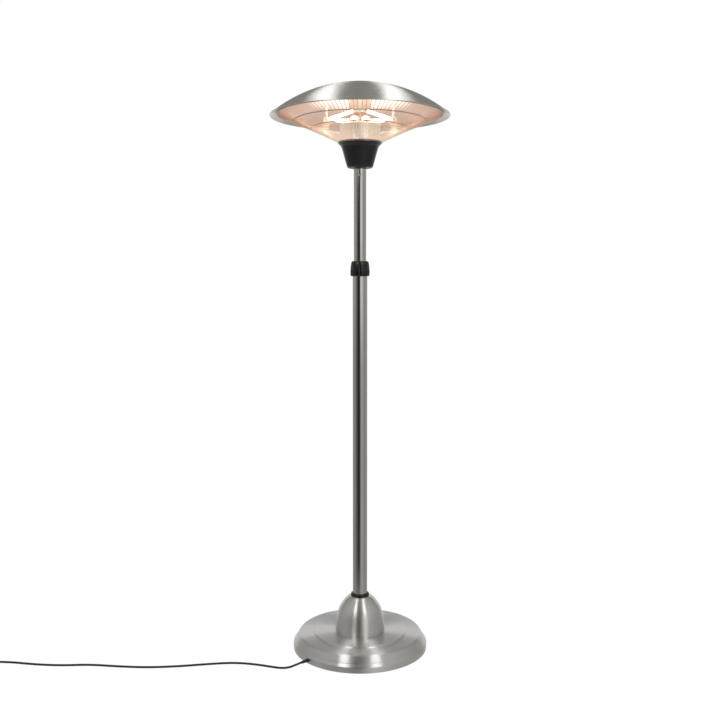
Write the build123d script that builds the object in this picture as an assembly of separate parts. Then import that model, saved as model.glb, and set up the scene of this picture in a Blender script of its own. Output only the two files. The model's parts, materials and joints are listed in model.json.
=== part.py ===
"""Free-standing halogen patio heater: weighted round base, telescopic pole, domed head with a wire guard.

Millimetres. +Z is up, the origin is the middle of the base on the standing surface, and -Y is the front.
"""

from build123d import *
from math import atan2, cos, pi, radians, sin, sqrt, tan
import os

os.makedirs("parts", exist_ok=True)

# ---------------------------------------------------------------- clearances
RUN = 0.05  # radial running clearance of the telescopic tube, lock nut and knob spindle
SLIP = 0.1  # radial clearance of a piece that is pushed in and then fastened
CLEAR = 0.5  # gap between pieces that pass each other without touching
WELD = 0.05  # gap left at a spot weld between round wires

# ---------------------------------------------------------------- base
BASE_R = 230.0
SHELL_T = 1.2
SHELL_EDGE_Z = 3.0
LIP_TOP_Z = 22.0
LIP_W = 8.0
LIP_RISE = 10.0
BAND_W = 13.0
BAND_H = 22.5
TREAD_W = 49.0
TREAD_RISE = 3.0
STEP_H = 3.5
FOOT_R = 18.0
FOOT_H = 6.0
FOOT_COUNT = 6
FOOT_INSET = 38.0
FOOT_RECESS_R = 6.0
FOOT_SCREW_R = 2.0
FOOT_SCREW_HEAD_R = 4.5
FOOT_SCREW_HEAD_H = 2.5
FOOT_SCREW_LENGTH = 16.0
FOOT_WEB = 1.5
PLATE_T = 1.5
BALLAST_INSET = 30.0
BALLAST_H = 40.0
BALLAST_BORE_R = 30.0
BALLAST_CHAMFER = 12.0

# ---------------------------------------------------------------- pole foot
POLE_FLANGE_R = 70.0
POLE_FLANGE_T = 4.0
POLE_SPIGOT_H = 40.0
POLE_SPIGOT_T = 2.5
LEAD_HOLE_R = 14.0
BOLT_R = 4.0
BOLT_COUNT = 4
BOLT_PCR = 52.0
BOLT_HEAD_R = 10.0
BOLT_HEAD_H = 3.0
BOLT_SPARE = 4.0
WASHER_R = 8.5
WASHER_T = 1.6
NUT_ACROSS = 13.0
NUT_H = 6.5
BELL_R = 85.0
BELL_H = 120.0
BELL_NECK_W = 6.0
BELL_T = 1.0
SEAL_W = 7.0
SEAL_H = 14.0
SEAL_ROUND = 4.0

# ---------------------------------------------------------------- pole
LOWER_R = 25.0
LOWER_T = 1.5
LOWER_L = 1247.0
UPPER_R = 21.0
UPPER_T = 1.2
UPPER_INSIDE = 380.0
UPPER_SHOWN = 309.0
BUSH_H = 32.0
RIVET_R = 2.0

# ---------------------------------------------------------------- twist lock
LOCK_H = 51.0
LOCK_TOP_W = 2.6
LOCK_BOTTOM_W = 4.4
LOCK_ABOVE_TUBE = 21.0
LOCK_ROUND = 5.0
LOCK_FLUTES = 6
LOCK_FLUTE_R = 7.0
LOCK_FLUTE_DEPTH = 1.6
SOCKET_T = 3.0
SOCKET_H = 27.0
SLEEVE_SEAT_H = 4.0
SLEEVE_CONE_H = 12.0
SLEEVE_TOP_T = 3.0
SLEEVE_SHOULDER = 1.0
SLEEVE_SLOTS = 4
SLEEVE_SLOT_W = 1.6

# ---------------------------------------------------------------- hub under the head
HUB_H = 82.0
HUB_BOTTOM_R = 43.0
HUB_TOP_R = 73.0
HUB_T = 2.5
HUB_ROUND = 9.0
HUB_FLARE_W = 9.0
HUB_FLARE_H = 12.0
HUB_SOCKET_H = 34.0
HUB_SOCKET_T = 4.0
STEM_R = UPPER_R - UPPER_T - SLIP
STEM_T = 2.5
STEM_BELOW = 42.0
STEM_FLANGE_R = 30.0
STEM_FLANGE_T = 3.0
STEM_SCREW_DROP = 23.0
STEM_SCREW_R = 2.0
STEM_SCREW_HEAD_R = 4.0
STEM_SCREW_HEAD_H = 2.2
TUBE_IN_HUB = 46.0
HUB_PLATE_R = 74.5
HUB_PLATE_T = 1.5
HUB_PLATE_HOLE_R = 15.0
HUB_POST_PCR = 57.0
HUB_POST_R = 5.0
HUB_POST_H = 24.0
HUB_SCREW_R = 1.8
HUB_SCREW_HEAD_R = 3.6
HUB_SCREW_HEAD_H = 2.2
HUB_SCREW_LENGTH = 14.0
HUB_SCREW_COUNT = 4

# ---------------------------------------------------------------- controls in the hub
KNOB_RISE = 46.0
KNOB_R = 14.0
KNOB_H = 15.0
KNOB_GRIP_W = 6.0
BOSS_R = 17.0
BOSS_L = 29.0
BOSS_FACE_Y = 68.0
BOSS_FACE_T = 3.0
SWITCH_R = 13.0
SWITCH_L = 22.0
SPINDLE_R = 3.0
SPINDLE_IN_SWITCH = 8.0
SPINDLE_IN_KNOB = 9.0
TERMINAL_W = 44.0
TERMINAL_D = 14.0
TERMINAL_H = 16.0
TERMINAL_Y = -(STEM_FLANGE_R + CLEAR + TERMINAL_D / 2)
TILT_W = 18.0
TILT_D = 22.0
TILT_H = 20.0
TILT_X = -(STEM_FLANGE_R + CLEAR + TILT_W / 2)

# ---------------------------------------------------------------- can and column inside the guard
CAN_R = 68.0
CAN_H = 60.0
CAN_T = 0.8
COLUMN_R = 38.0
COLUMN_T = 1.0
COLUMN_HOLE_R = 30.0
COLUMN_FLANGE_R = 50.0
COLUMN_FLANGE_T = 2.0
LEAD_R = 1.3
LEAD_RING_R = 8.0

# ---------------------------------------------------------------- dome
HEAD_RISE = 85.5
DOME_R = 300.0
DOME_H = 108.0
DOME_T = 1.0
HEM_R = 1.6
REFLECTOR_INSET = 32.0
REFLECTOR_T = 0.8
REFLECTOR_GAP = 7.0
STUD_R = 3.0
STUD_PCR = 43.5
STUD_COUNT = 3
STUD_START = 90.0
STUD_NUT_ACROSS = 10.0
STUD_NUT_H = 5.0
STUD_SPARE = 2.0

# ---------------------------------------------------------------- halogen lamps
LAMP_COUNT = 3
LAMP_CORNER_GAP = 20.7
LAMP_GLASS_R = 5.0
LAMP_GLASS_T = 1.0
LAMP_GLASS_L = 176.0
FILAMENT_R = 1.5
CAP_R = 6.5
CAP_L = 16.0
PIN_R = 1.5
BRACKET_W = 40.0
BRACKET_H = 14.0
BRACKET_T = 1.5
STRAP_W = 14.0

# ---------------------------------------------------------------- wire guard
GUARD_INSET = 25.0
GUARD_LIFT = 7.0
GUARD_BEND_W = 113.5
GUARD_BEND_DROP = 41.0
GUARD_INNER_R = 72.5
WIRE_R = 1.0
WIRE_COUNT = 120
OUTER_RING_R = 2.5
MID_RING_R = 1.5
MID_RING_W = 55.0
INNER_RING_R = 2.0
CLIP_COUNT = 6
CLIP_W = 12.0
CLIP_D = 9.0
CLIP_SHIFT = 2.0
CLIP_OVER_RING = 1.0

# ---------------------------------------------------------------- mains cord
CORD_R = 3.5
CORD_ANGLE = 221.25
GLAND_Z = 14.0
GLAND_R = 7.0
GLAND_OUT = 4.0
GLAND_THREAD_R = 5.0
GLAND_THREAD_L = 10.0
GLAND_NUT_ACROSS = 12.5
GLAND_NUT_T = 3.0
RELIEF_L = 22.0
RELIEF_R = 5.6
RELIEF_TIP_R = 4.4
COIL_R = 38.5
COIL_CENTRE = (-1086.5, 69.8)
COIL_WIDTH = 15.0
COIL_H = 14.0
COIL_ROUND = 3.0
CORD_ROUTE = [
    (-15.5, -12.2, 12.6),
    (-37.5, -22.2, 7.2),
    (-64.5, -20.2, 3.6),
    (-99.5, -9.2, 3.5),
    (-153.5, 9.8, 3.5),
    (-227.5, 22.8, 3.5),
    (-315.5, 10.8, 3.5),
    (-407.5, -6.2, 3.5),
    (-507.5, -14.2, 3.5),
    (-604.5, -6.2, 3.5),
    (-699.5, 7.8, 3.5),
    (-792.5, 0.8, 3.5),
    (-882.5, 8.8, 3.5),
    (-959.5, 23.8, 3.5),
    (-1022.5, 28.8, 3.5),
    (-1079.5, 27.8, 3.5),
]
PLUG_TILT = 13.5
PLUG_TIP = (-1131.5, 88.8, 4.8)
PLUG_NOSE_L = 26.0
PLUG_NOSE_R = 4.6
PLUG_NECK_R = 8.5
PLUG_GRIP_L = 24.0
PLUG_GRIP_R = 15.5
PLUG_R = 17.0
PLUG_FACE_L = 8.0
PLUG_EDGE = 1.5
PLUG_PIN_R = 2.4
PLUG_PIN_L = 19.0
PLUG_PIN_GAP = 19.0

# ---------------------------------------------------------------- lead inside the base and pole
CHANNEL_W = 14.0
CHANNEL_H = 14.0
SADDLE_R = 150.0
SADDLE_W = 34.0
SADDLE_L = 14.0
SADDLE_T = 2.0
SADDLE_SCREW_R = 1.8
SADDLE_SCREW_HEAD_R = 3.5
SADDLE_SCREW_HEAD_H = 2.0
SADDLE_SCREW_AT = 12.5
LEAD_BEND_R = 20.0
LEAD_COIL_R = 12.0
LEAD_COIL_Z = 110.0

# ---------------------------------------------------------------- places that follow from the sizes
PLATE_Z = FOOT_H
BALLAST_Z = PLATE_Z + PLATE_T
FLANGE_R = BASE_R - LIP_W
FLANGE_Z = LIP_TOP_Z + LIP_RISE
SHOULDER_R = FLANGE_R - BAND_W
SHOULDER_Z = FLANGE_Z + BAND_H
STEP_R = SHOULDER_R - TREAD_W
STEP_Z = SHOULDER_Z + TREAD_RISE
CROWN_Z = STEP_Z + STEP_H
BALLAST_R = BASE_R - BALLAST_INSET
FOOT_PCR = BASE_R - FOOT_INSET
POLE_FLANGE_Z = CROWN_Z
BOLT_START = CORD_ANGLE + 45.0
TUBE_Z = POLE_FLANGE_Z + POLE_FLANGE_T
BELL_TOP_Z = CROWN_Z + BELL_H
BELL_TOP_R = LOWER_R + BELL_NECK_W
SEAL_R = LOWER_R + SEAL_W
LOWER_TOP_Z = TUBE_Z + LOWER_L
SOCKET_R = LOWER_R + SOCKET_T
SLEEVE_TOP_R = UPPER_R + SLEEVE_TOP_T
LOCK_TOP_R = SOCKET_R + LOCK_TOP_W
LOCK_BOTTOM_R = SOCKET_R + LOCK_BOTTOM_W
LOCK_TOP_Z = LOWER_TOP_Z + LOCK_ABOVE_TUBE
LOCK_Z = LOCK_TOP_Z - LOCK_H
UPPER_Z = LOWER_TOP_Z - UPPER_INSIDE
HUB_Z = LOCK_TOP_Z + UPPER_SHOWN
KNOB_Z = HUB_Z + KNOB_RISE
UPPER_TOP_Z = HUB_Z + TUBE_IN_HUB
HUB_TOP_Z = HUB_Z + HUB_H
HUB_PLATE_TOP_Z = HUB_TOP_Z + HUB_PLATE_T
CAN_TOP_Z = HUB_PLATE_TOP_Z + CAN_H
RIM_Z = HUB_PLATE_TOP_Z + HEAD_RISE
GUARD_OUTER_R = DOME_R - GUARD_INSET
GUARD_OUTER_Z = RIM_Z + GUARD_LIFT
GUARD_BEND_R = GUARD_OUTER_R - GUARD_BEND_W
GUARD_BEND_Z = RIM_Z - GUARD_BEND_DROP
MID_RING_AT = GUARD_OUTER_R - MID_RING_W
REFLECTOR_R = DOME_R - REFLECTOR_INSET
SPHERE_R = (DOME_R**2 + DOME_H**2) / (2 * DOME_H)
SPHERE_Z = RIM_Z + DOME_H - SPHERE_R
DOME_IN_R = SPHERE_R - DOME_T
REFLECTOR_OUT_R = DOME_IN_R - REFLECTOR_GAP
REFLECTOR_IN_R = REFLECTOR_OUT_R - REFLECTOR_T
LAMP_Z = RIM_Z
LAMP_END = LAMP_GLASS_L / 2
CAP_END = LAMP_END + CAP_L
CORNER_HALF = pi / LAMP_COUNT
LAMP_OFFSET = (CAP_END + LAMP_CORNER_GAP) / tan(CORNER_HALF)


def write(name, *solids):
    """Write one named node from one solid or a group of separate solids."""
    shape = solids[0] if len(solids) == 1 else Compound(children=[s for s in solids])
    export_step(shape, os.path.join("parts", name + ".step"))


def one(shape):
    """Give the only solid of a shape."""
    found = shape.solids()
    assert len(found) == 1
    return found[0]


def disc(radius, height, z, x=0.0, y=0.0):
    """Upright cylinder that stands on height z."""
    return Pos(x, y, z + height / 2) * Cylinder(radius, height)


def tube(outer, inner, height, z):
    """Upright tube round the pole's axis."""
    return disc(outer, height, z) - disc(inner, height + 2, z - 1)


def around(count, radius, start=0.0):
    """Places evenly spaced on a circle, each turned so that its X points outwards."""
    return [Rot(0, 0, start + 360.0 * i / count) * Pos(radius, 0, 0) for i in range(count)]


def spots(count, radius, start=0.0):
    """Centres evenly spaced on a circle."""
    turns = [radians(start + 360.0 * i / count) for i in range(count)]
    return [(radius * cos(t), radius * sin(t)) for t in turns]


def spun(points):
    """Turn a closed outline of (radius, height) points about the pole's axis."""
    outline = Plane.XZ * make_face(Polyline([(r, z) for r, z in points], close=True))
    return one(revolve(outline, Axis.Z, 360))


def cap_height(sphere, radius):
    """Height on one of the head's concentric spheres at a radius from the axis."""
    return SPHERE_Z + sqrt(sphere**2 - radius**2)


def cap_solid(sphere, radius):
    """Solid cap of a head sphere, out to a radius."""
    ball = Pos(0, 0, SPHERE_Z) * Sphere(sphere)
    low = cap_height(sphere, radius)
    return one(ball & disc(sphere, 2 * sphere, low))


def hexagon(across, height, z, x, y):
    """Hexagonal nut blank."""
    return Pos(x, y, z) * extrude(RegularPolygon(across / 2, 6, major_radius=False), amount=height)


# ================================================================ base
def base_outline(inset):
    """Half outline of the stepped base skin, moved in by the sheet's thickness."""
    points = [
        (0, 0 - inset),
        (BASE_R - inset, 0 - inset),
        (BASE_R - inset, LIP_TOP_Z - inset),
        (FLANGE_R - inset, FLANGE_Z - inset),
        (SHOULDER_R - inset, SHOULDER_Z - inset),
        (STEP_R - inset, STEP_Z - inset),
        (STEP_R - inset - STEP_H / 2, CROWN_Z - inset),
        (0, CROWN_Z - inset),
    ]
    return Plane.XZ * make_face(Polyline(points, close=True))


def base_block(inset):
    """Solid of the base skin's shape with rounded steps."""
    block = one(revolve(base_outline(inset), Axis.Z, 360))
    rounds = ((LIP_TOP_Z, BASE_R, 5.0), (FLANGE_Z, FLANGE_R, 4.0), (SHOULDER_Z, SHOULDER_R, 5.0))
    for z, r, size in rounds:
        ring = [e for e in block.edges() if on_ring(e, r - inset, z - inset)]
        block = one(fillet(ring, size - inset / 2))
    return block


def on_ring(edge, radius, z):
    """Whether an edge is the circle of this radius at this height."""
    at = edge @ 0.5
    return abs(at.Z - z) < 0.01 and abs(sqrt(at.X**2 + at.Y**2) - radius) < 0.01


def make_base_shell():
    """Spun steel skin with holes for the lead, the flange bolts and the cable gland."""
    shell = base_block(0.0) - base_block(SHELL_T)
    shell -= disc(BASE_R + 1, SHELL_EDGE_Z + SHELL_T, -SHELL_T)
    shell -= disc(LEAD_HOLE_R, 4 * SHELL_T, CROWN_Z - 2 * SHELL_T)
    for x, y in spots(BOLT_COUNT, BOLT_PCR, BOLT_START):
        shell -= disc(BOLT_R + SLIP, 4 * SHELL_T, CROWN_Z - 2 * SHELL_T, x, y)
    shell -= gland_bar(BASE_R - 4 * SHELL_T, BASE_R + 1, GLAND_THREAD_R + SLIP)
    return one(shell)


def make_bottom_plate():
    """Flat steel plate that closes the base from below."""
    plate = disc(BASE_R - SHELL_T - SLIP, PLATE_T, PLATE_Z)
    for x, y in spots(BOLT_COUNT, BOLT_PCR, BOLT_START):
        plate -= disc(BOLT_R + SLIP, 3 * PLATE_T, PLATE_Z - PLATE_T, x, y)
    for x, y in spots(FOOT_COUNT, FOOT_PCR):
        plate -= disc(FOOT_SCREW_R + SLIP, 3 * PLATE_T, PLATE_Z - PLATE_T, x, y)
    return one(plate)


def make_ballast():
    """Cast concrete weight with a lead channel, a middle bore and bolt holes."""
    top = BALLAST_Z + BALLAST_H
    ballast = spun(
        [
            (BALLAST_BORE_R, BALLAST_Z),
            (BALLAST_R, BALLAST_Z),
            (BALLAST_R, top - BALLAST_CHAMFER),
            (BALLAST_R - BALLAST_CHAMFER, top),
            (BALLAST_BORE_R, top),
        ]
    )
    channel = Box(BALLAST_R + 10, CHANNEL_W, CHANNEL_H, align=(Align.MIN, Align.CENTER, Align.MIN))
    ballast -= Rot(0, 0, CORD_ANGLE) * Pos(0, 0, BALLAST_Z) * channel
    for x, y in spots(BOLT_COUNT, BOLT_PCR, BOLT_START):
        ballast -= disc(BOLT_R + CLEAR, BALLAST_H + 2, BALLAST_Z - 1, x, y)
    for x, y in spots(FOOT_COUNT, FOOT_PCR):
        ballast -= disc(FOOT_SCREW_R + SLIP, FOOT_SCREW_LENGTH, BALLAST_Z, x, y)
    return one(ballast - saddle_block(SADDLE_L + 2 * CLEAR, SADDLE_W + 2 * CLEAR, BALLAST_H))


def make_feet():
    """Rubber feet with a screw recess from below."""
    feet = []
    for x, y in spots(FOOT_COUNT, FOOT_PCR):
        foot = disc(FOOT_R, FOOT_H, 0, x, y)
        foot -= disc(FOOT_RECESS_R, FOOT_H - FOOT_WEB, 0, x, y)
        foot -= disc(FOOT_SCREW_R + SLIP, 2 * FOOT_H, 0, x, y)
        feet.append(one(foot))
    return feet


def make_foot_screws():
    """Pan head screws that hold the feet and the bottom plate to the ballast."""
    head_z = FOOT_H - FOOT_WEB - FOOT_SCREW_HEAD_H
    screws = []
    for x, y in spots(FOOT_COUNT, FOOT_PCR):
        head = disc(FOOT_SCREW_HEAD_R, FOOT_SCREW_HEAD_H, head_z, x, y)
        shank = disc(FOOT_SCREW_R, FOOT_SCREW_LENGTH, head_z + FOOT_SCREW_HEAD_H, x, y)
        screws.append(one(head + shank))
    return screws


# ================================================================ pole foot
def make_pole_flange():
    """Steel flange with a spigot that the lower tube is pushed over."""
    spigot_r = LOWER_R - LOWER_T - SLIP
    flange = disc(POLE_FLANGE_R, POLE_FLANGE_T, POLE_FLANGE_Z)
    flange += disc(spigot_r, POLE_SPIGOT_H, TUBE_Z)
    flange -= disc(spigot_r - POLE_SPIGOT_T, POLE_SPIGOT_H + 1, TUBE_Z)
    flange -= disc(LEAD_HOLE_R, 3 * POLE_FLANGE_T, POLE_FLANGE_Z - POLE_FLANGE_T)
    for x, y in spots(BOLT_COUNT, BOLT_PCR, BOLT_START):
        flange -= disc(BOLT_R + SLIP, 3 * POLE_FLANGE_T, POLE_FLANGE_Z - POLE_FLANGE_T, x, y)
    return one(flange)


def make_flange_fasteners():
    """Coach bolts from below, with washers and nuts on the flange."""
    head_z = PLATE_Z - BOLT_HEAD_H
    washer_z = TUBE_Z
    nut_z = washer_z + WASHER_T
    shank = nut_z + NUT_H + BOLT_SPARE - PLATE_Z
    bolts, washers, nuts = [], [], []
    for x, y in spots(BOLT_COUNT, BOLT_PCR, BOLT_START):
        bolts.append(one(disc(BOLT_HEAD_R, BOLT_HEAD_H, head_z, x, y) + disc(BOLT_R, shank, PLATE_Z, x, y)))
        washer = disc(WASHER_R, WASHER_T, washer_z, x, y)
        washers.append(one(washer - disc(BOLT_R + SLIP, 3 * WASHER_T, washer_z - WASHER_T, x, y)))
        nut = hexagon(NUT_ACROSS, NUT_H, nut_z, x, y)
        nuts.append(one(nut - disc(BOLT_R + RUN, 3 * NUT_H, nut_z - NUT_H, x, y)))
    return bolts, washers, nuts


def bell_face(inset):
    """Half outline of the bell: a short straight skirt and one long curve up to the neck."""
    skirt_r = BELL_R - inset
    waist = (BELL_R - 2.0 - inset, CROWN_Z + 0.2 * BELL_H)
    shoulder = (0.76 * BELL_R - inset, CROWN_Z + 0.75 * BELL_H)
    neck = (BELL_TOP_R, BELL_TOP_Z - inset)
    with BuildSketch(Plane.XZ) as sketch:
        with BuildLine():
            Line((0, CROWN_Z), (skirt_r, CROWN_Z))
            Spline((skirt_r, CROWN_Z), waist, shoulder, neck, tangents=((0, 1), (-1, 0.12)))
            Line(neck, (0, neck[1]))
            Line((0, neck[1]), (0, CROWN_Z))
        make_face()
    return sketch.sketch


def make_bell_cover():
    """Polished bell over the pole flange."""
    outer = revolve(bell_face(0.0), Axis.Z, 360)
    inner = revolve(bell_face(BELL_T), Axis.Z, 360)
    hollow = outer - inner
    return one(hollow - disc(LOWER_R + CLEAR, BELL_H, CROWN_Z + BELL_H / 2))


def make_seal_ring():
    """Black ring that closes the gap between the bell and the tube."""
    ring = tube(SEAL_R, LOWER_R + SLIP, SEAL_H, BELL_TOP_Z)
    top = [e for e in ring.edges() if on_ring(e, SEAL_R, BELL_TOP_Z + SEAL_H)]
    return one(fillet(top, SEAL_ROUND))


def make_lower_tube():
    """Outer tube of the telescopic pole."""
    return one(tube(LOWER_R, LOWER_R - LOWER_T, LOWER_TOP_Z - TUBE_Z, TUBE_Z))


# ================================================================ twist lock
def make_lock_socket():
    """Threaded socket fixed round the top of the lower tube."""
    return one(tube(SOCKET_R, LOWER_R + SLIP, SOCKET_H, LOWER_TOP_Z - SOCKET_H))


def make_clamp_sleeve():
    """Slotted plastic cone that the nut squeezes onto the upper tube."""
    seat_r = SOCKET_R - CLEAR
    cone_r = seat_r - SLEEVE_SHOULDER
    top = LOWER_TOP_Z + SLEEVE_SEAT_H + SLEEVE_CONE_H
    bore = UPPER_R + RUN
    sleeve = spun(
        [
            (bore, LOWER_TOP_Z),
            (seat_r, LOWER_TOP_Z),
            (seat_r, LOWER_TOP_Z + SLEEVE_SEAT_H),
            (cone_r, LOWER_TOP_Z + SLEEVE_SEAT_H),
            (SLEEVE_TOP_R, top),
            (bore, top),
        ]
    )
    slot = Box(2 * SOCKET_R, SLEEVE_SLOT_W, SLEEVE_CONE_H, align=(Align.MIN, Align.CENTER, Align.MIN))
    for i in range(SLEEVE_SLOTS):
        turn = 45 + 360.0 * i / SLEEVE_SLOTS
        sleeve -= Rot(0, 0, turn) * Pos(0, 0, LOWER_TOP_Z + SLEEVE_SEAT_H) * slot
    return one(sleeve)


def make_lock_nut():
    """Fluted twist nut with a cone inside that tightens on the sleeve."""
    seat_z = LOWER_TOP_Z + SLEEVE_SEAT_H + CLEAR
    cone_r = SOCKET_R - SLEEVE_SHOULDER
    cone_top = LOWER_TOP_Z + SLEEVE_SEAT_H + SLEEVE_CONE_H + CLEAR
    bore = UPPER_R + CLEAR
    body = spun([(0, LOCK_Z), (LOCK_BOTTOM_R, LOCK_Z), (LOCK_TOP_R, LOCK_TOP_Z), (0, LOCK_TOP_Z)])
    rims = [e for e in body.edges() if on_ring(e, LOCK_BOTTOM_R, LOCK_Z)]
    rims += [e for e in body.edges() if on_ring(e, LOCK_TOP_R, LOCK_TOP_Z)]
    body = one(fillet(rims, LOCK_ROUND))
    for x, y in spots(LOCK_FLUTES, LOCK_BOTTOM_R + LOCK_FLUTE_R - LOCK_FLUTE_DEPTH, 90):
        body -= disc(LOCK_FLUTE_R, LOCK_H + 2, LOCK_Z - 1, x, y)
    body -= spun(
        [
            (0, LOCK_Z - 1),
            (SOCKET_R + RUN, LOCK_Z - 1),
            (SOCKET_R + RUN, seat_z),
            (cone_r + CLEAR, seat_z),
            (SLEEVE_TOP_R + CLEAR, cone_top),
            (bore, cone_top),
            (bore, LOCK_TOP_Z + 1),
            (0, LOCK_TOP_Z + 1),
        ]
    )
    return one(body)


# ================================================================ upper tube
def cross_bar(z, start, end, radius, turn=0.0):
    """Bar along X at a height, turned about the pole's axis."""
    bar = Pos((start + end) / 2, 0, z) * Rot(0, 90, 0) * Cylinder(radius, end - start)
    return Rot(0, 0, turn) * bar


def make_upper_tube():
    """Inner tube of the telescopic pole, with rivet holes low down and screw holes under the hub."""
    shaft = tube(UPPER_R, UPPER_R - UPPER_T, UPPER_TOP_Z - UPPER_Z, UPPER_Z)
    shaft -= cross_bar(UPPER_Z + BUSH_H / 2, -2 * UPPER_R, 2 * UPPER_R, RIVET_R + RUN)
    shaft -= cross_bar(HUB_Z - STEM_SCREW_DROP, -2 * UPPER_R, 2 * UPPER_R, STEM_SCREW_R + RUN, 90)
    return one(shaft)


def make_guide_bush():
    """Plastic bush on the foot of the upper tube that runs in the lower tube."""
    bush = tube(LOWER_R - LOWER_T - RUN, UPPER_R + SLIP, BUSH_H, UPPER_Z)
    bush -= cross_bar(UPPER_Z + BUSH_H / 2, -2 * UPPER_R, 2 * UPPER_R, RIVET_R + RUN)
    return one(bush)


def make_bush_rivets():
    """Two blind rivets that hold the bush."""
    outer = LOWER_R - LOWER_T - CLEAR
    inner = UPPER_R - UPPER_T - 1.0
    z = UPPER_Z + BUSH_H / 2
    return [one(cross_bar(z, inner, outer, RIVET_R, turn)) for turn in (0, 180)]


# ================================================================ hub
def hub_cone(inset):
    """Solid of the hub's outer shape, moved in by its wall."""
    cone = spun(
        [
            (0, HUB_Z + inset),
            (HUB_BOTTOM_R - inset, HUB_Z + inset),
            (HUB_TOP_R - HUB_FLARE_W - inset, HUB_TOP_Z - HUB_FLARE_H),
            (HUB_TOP_R - inset, HUB_TOP_Z),
            (0, HUB_TOP_Z),
        ]
    )
    low = [e for e in cone.edges() if on_ring(e, HUB_BOTTOM_R - inset, HUB_Z + inset)]
    return one(fillet(low, HUB_ROUND - inset))


def switch_bar(start, end, radius):
    """Bar along Y on the selector's axis."""
    return Pos(0, (start + end) / 2, KNOB_Z) * Rot(90, 0, 0) * Cylinder(radius, end - start)


def make_hub_housing():
    """Moulded hub: cone wall, tube socket, screw posts and the selector's boss at the back."""
    back_y = BOSS_FACE_Y - BOSS_FACE_T
    inside = hub_cone(HUB_T)
    hub = hub_cone(0.0) - inside
    hub += disc(UPPER_R + SLIP + HUB_SOCKET_T, HUB_SOCKET_H, HUB_Z + HUB_T / 2)
    for x, y in spots(HUB_SCREW_COUNT, HUB_POST_PCR, 45):
        hub += disc(HUB_POST_R, HUB_POST_H, HUB_TOP_Z - HUB_POST_H, x, y) & hub_cone(0.0)
    hub += switch_bar(BOSS_FACE_Y - BOSS_L, BOSS_FACE_Y, BOSS_R)
    hub -= switch_bar(BOSS_FACE_Y - BOSS_L - 1, back_y, SWITCH_R + SLIP)
    hub -= switch_bar(back_y - 1, BOSS_FACE_Y + 1, SPINDLE_R + RUN)
    hub -= disc(UPPER_R + SLIP, HUB_SOCKET_H + 2 * HUB_T, HUB_Z - 1)
    for x, y in spots(HUB_SCREW_COUNT, HUB_POST_PCR, 45):
        hub -= disc(HUB_SCREW_R + SLIP, HUB_SCREW_LENGTH, HUB_TOP_Z - HUB_SCREW_LENGTH, x, y)
    return one(hub)


def make_hub_stem():
    """Steel stem inside the upper tube that carries the head's plate."""
    foot = HUB_Z - STEM_BELOW
    flange_z = HUB_TOP_Z - STEM_FLANGE_T
    stem = disc(STEM_R, HUB_TOP_Z - foot, foot) + disc(STEM_FLANGE_R, STEM_FLANGE_T, flange_z)
    stem -= disc(STEM_R - STEM_T, HUB_TOP_Z - foot + 2, foot - 1)
    stem -= cross_bar(HUB_Z - STEM_SCREW_DROP, -2 * UPPER_R, 2 * UPPER_R, STEM_SCREW_R + RUN, 90)
    return one(stem)


def make_stem_screws():
    """Two pan head screws through the tube into the stem, front and back."""
    z = HUB_Z - STEM_SCREW_DROP
    inner = STEM_R - STEM_T
    screws = []
    for turn in (90, 270):
        shank = cross_bar(z, inner, UPPER_R + SLIP, STEM_SCREW_R, turn)
        head = cross_bar(z, UPPER_R + SLIP, UPPER_R + SLIP + STEM_SCREW_HEAD_H, STEM_SCREW_HEAD_R, turn)
        screws.append(one(shank + head))
    return screws


def make_hub_plate():
    """Steel plate on the hub that the can and the guard stand on."""
    plate = disc(HUB_PLATE_R, HUB_PLATE_T, HUB_TOP_Z)
    plate -= disc(HUB_PLATE_HOLE_R, 3 * HUB_PLATE_T, HUB_TOP_Z - HUB_PLATE_T)
    for x, y in spots(HUB_SCREW_COUNT, HUB_POST_PCR, 45):
        plate -= disc(HUB_SCREW_R + SLIP, 3 * HUB_PLATE_T, HUB_TOP_Z - HUB_PLATE_T, x, y)
    return one(plate)


def make_hub_screws():
    """Screws through the plate into the hub's posts."""
    length = HUB_SCREW_LENGTH - 1 + HUB_PLATE_T
    screws = []
    for x, y in spots(HUB_SCREW_COUNT, HUB_POST_PCR, 45):
        shank = disc(HUB_SCREW_R, length, HUB_PLATE_TOP_Z - length, x, y)
        head = disc(HUB_SCREW_HEAD_R, HUB_SCREW_HEAD_H, HUB_PLATE_TOP_Z, x, y)
        screws.append(one(shank + head))
    return screws


def make_terminal_block():
    """Ceramic terminal block with three wire holes, hung under the hub plate."""
    z = HUB_TOP_Z - TERMINAL_H / 2
    block = Pos(0, TERMINAL_Y, z) * Box(TERMINAL_W, TERMINAL_D, TERMINAL_H)
    for i in (-1, 0, 1):
        hole = Rot(90, 0, 0) * Cylinder(2 * LEAD_R, 2 * TERMINAL_D)
        block -= Pos(i * TERMINAL_W / 3, TERMINAL_Y, z) * hole
    return one(block)


def make_tilt_switch():
    """Sealed tip-over switch module, hung under the hub plate."""
    return Pos(TILT_X, 0, HUB_TOP_Z - TILT_H / 2) * Box(TILT_W, TILT_D, TILT_H)


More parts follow.
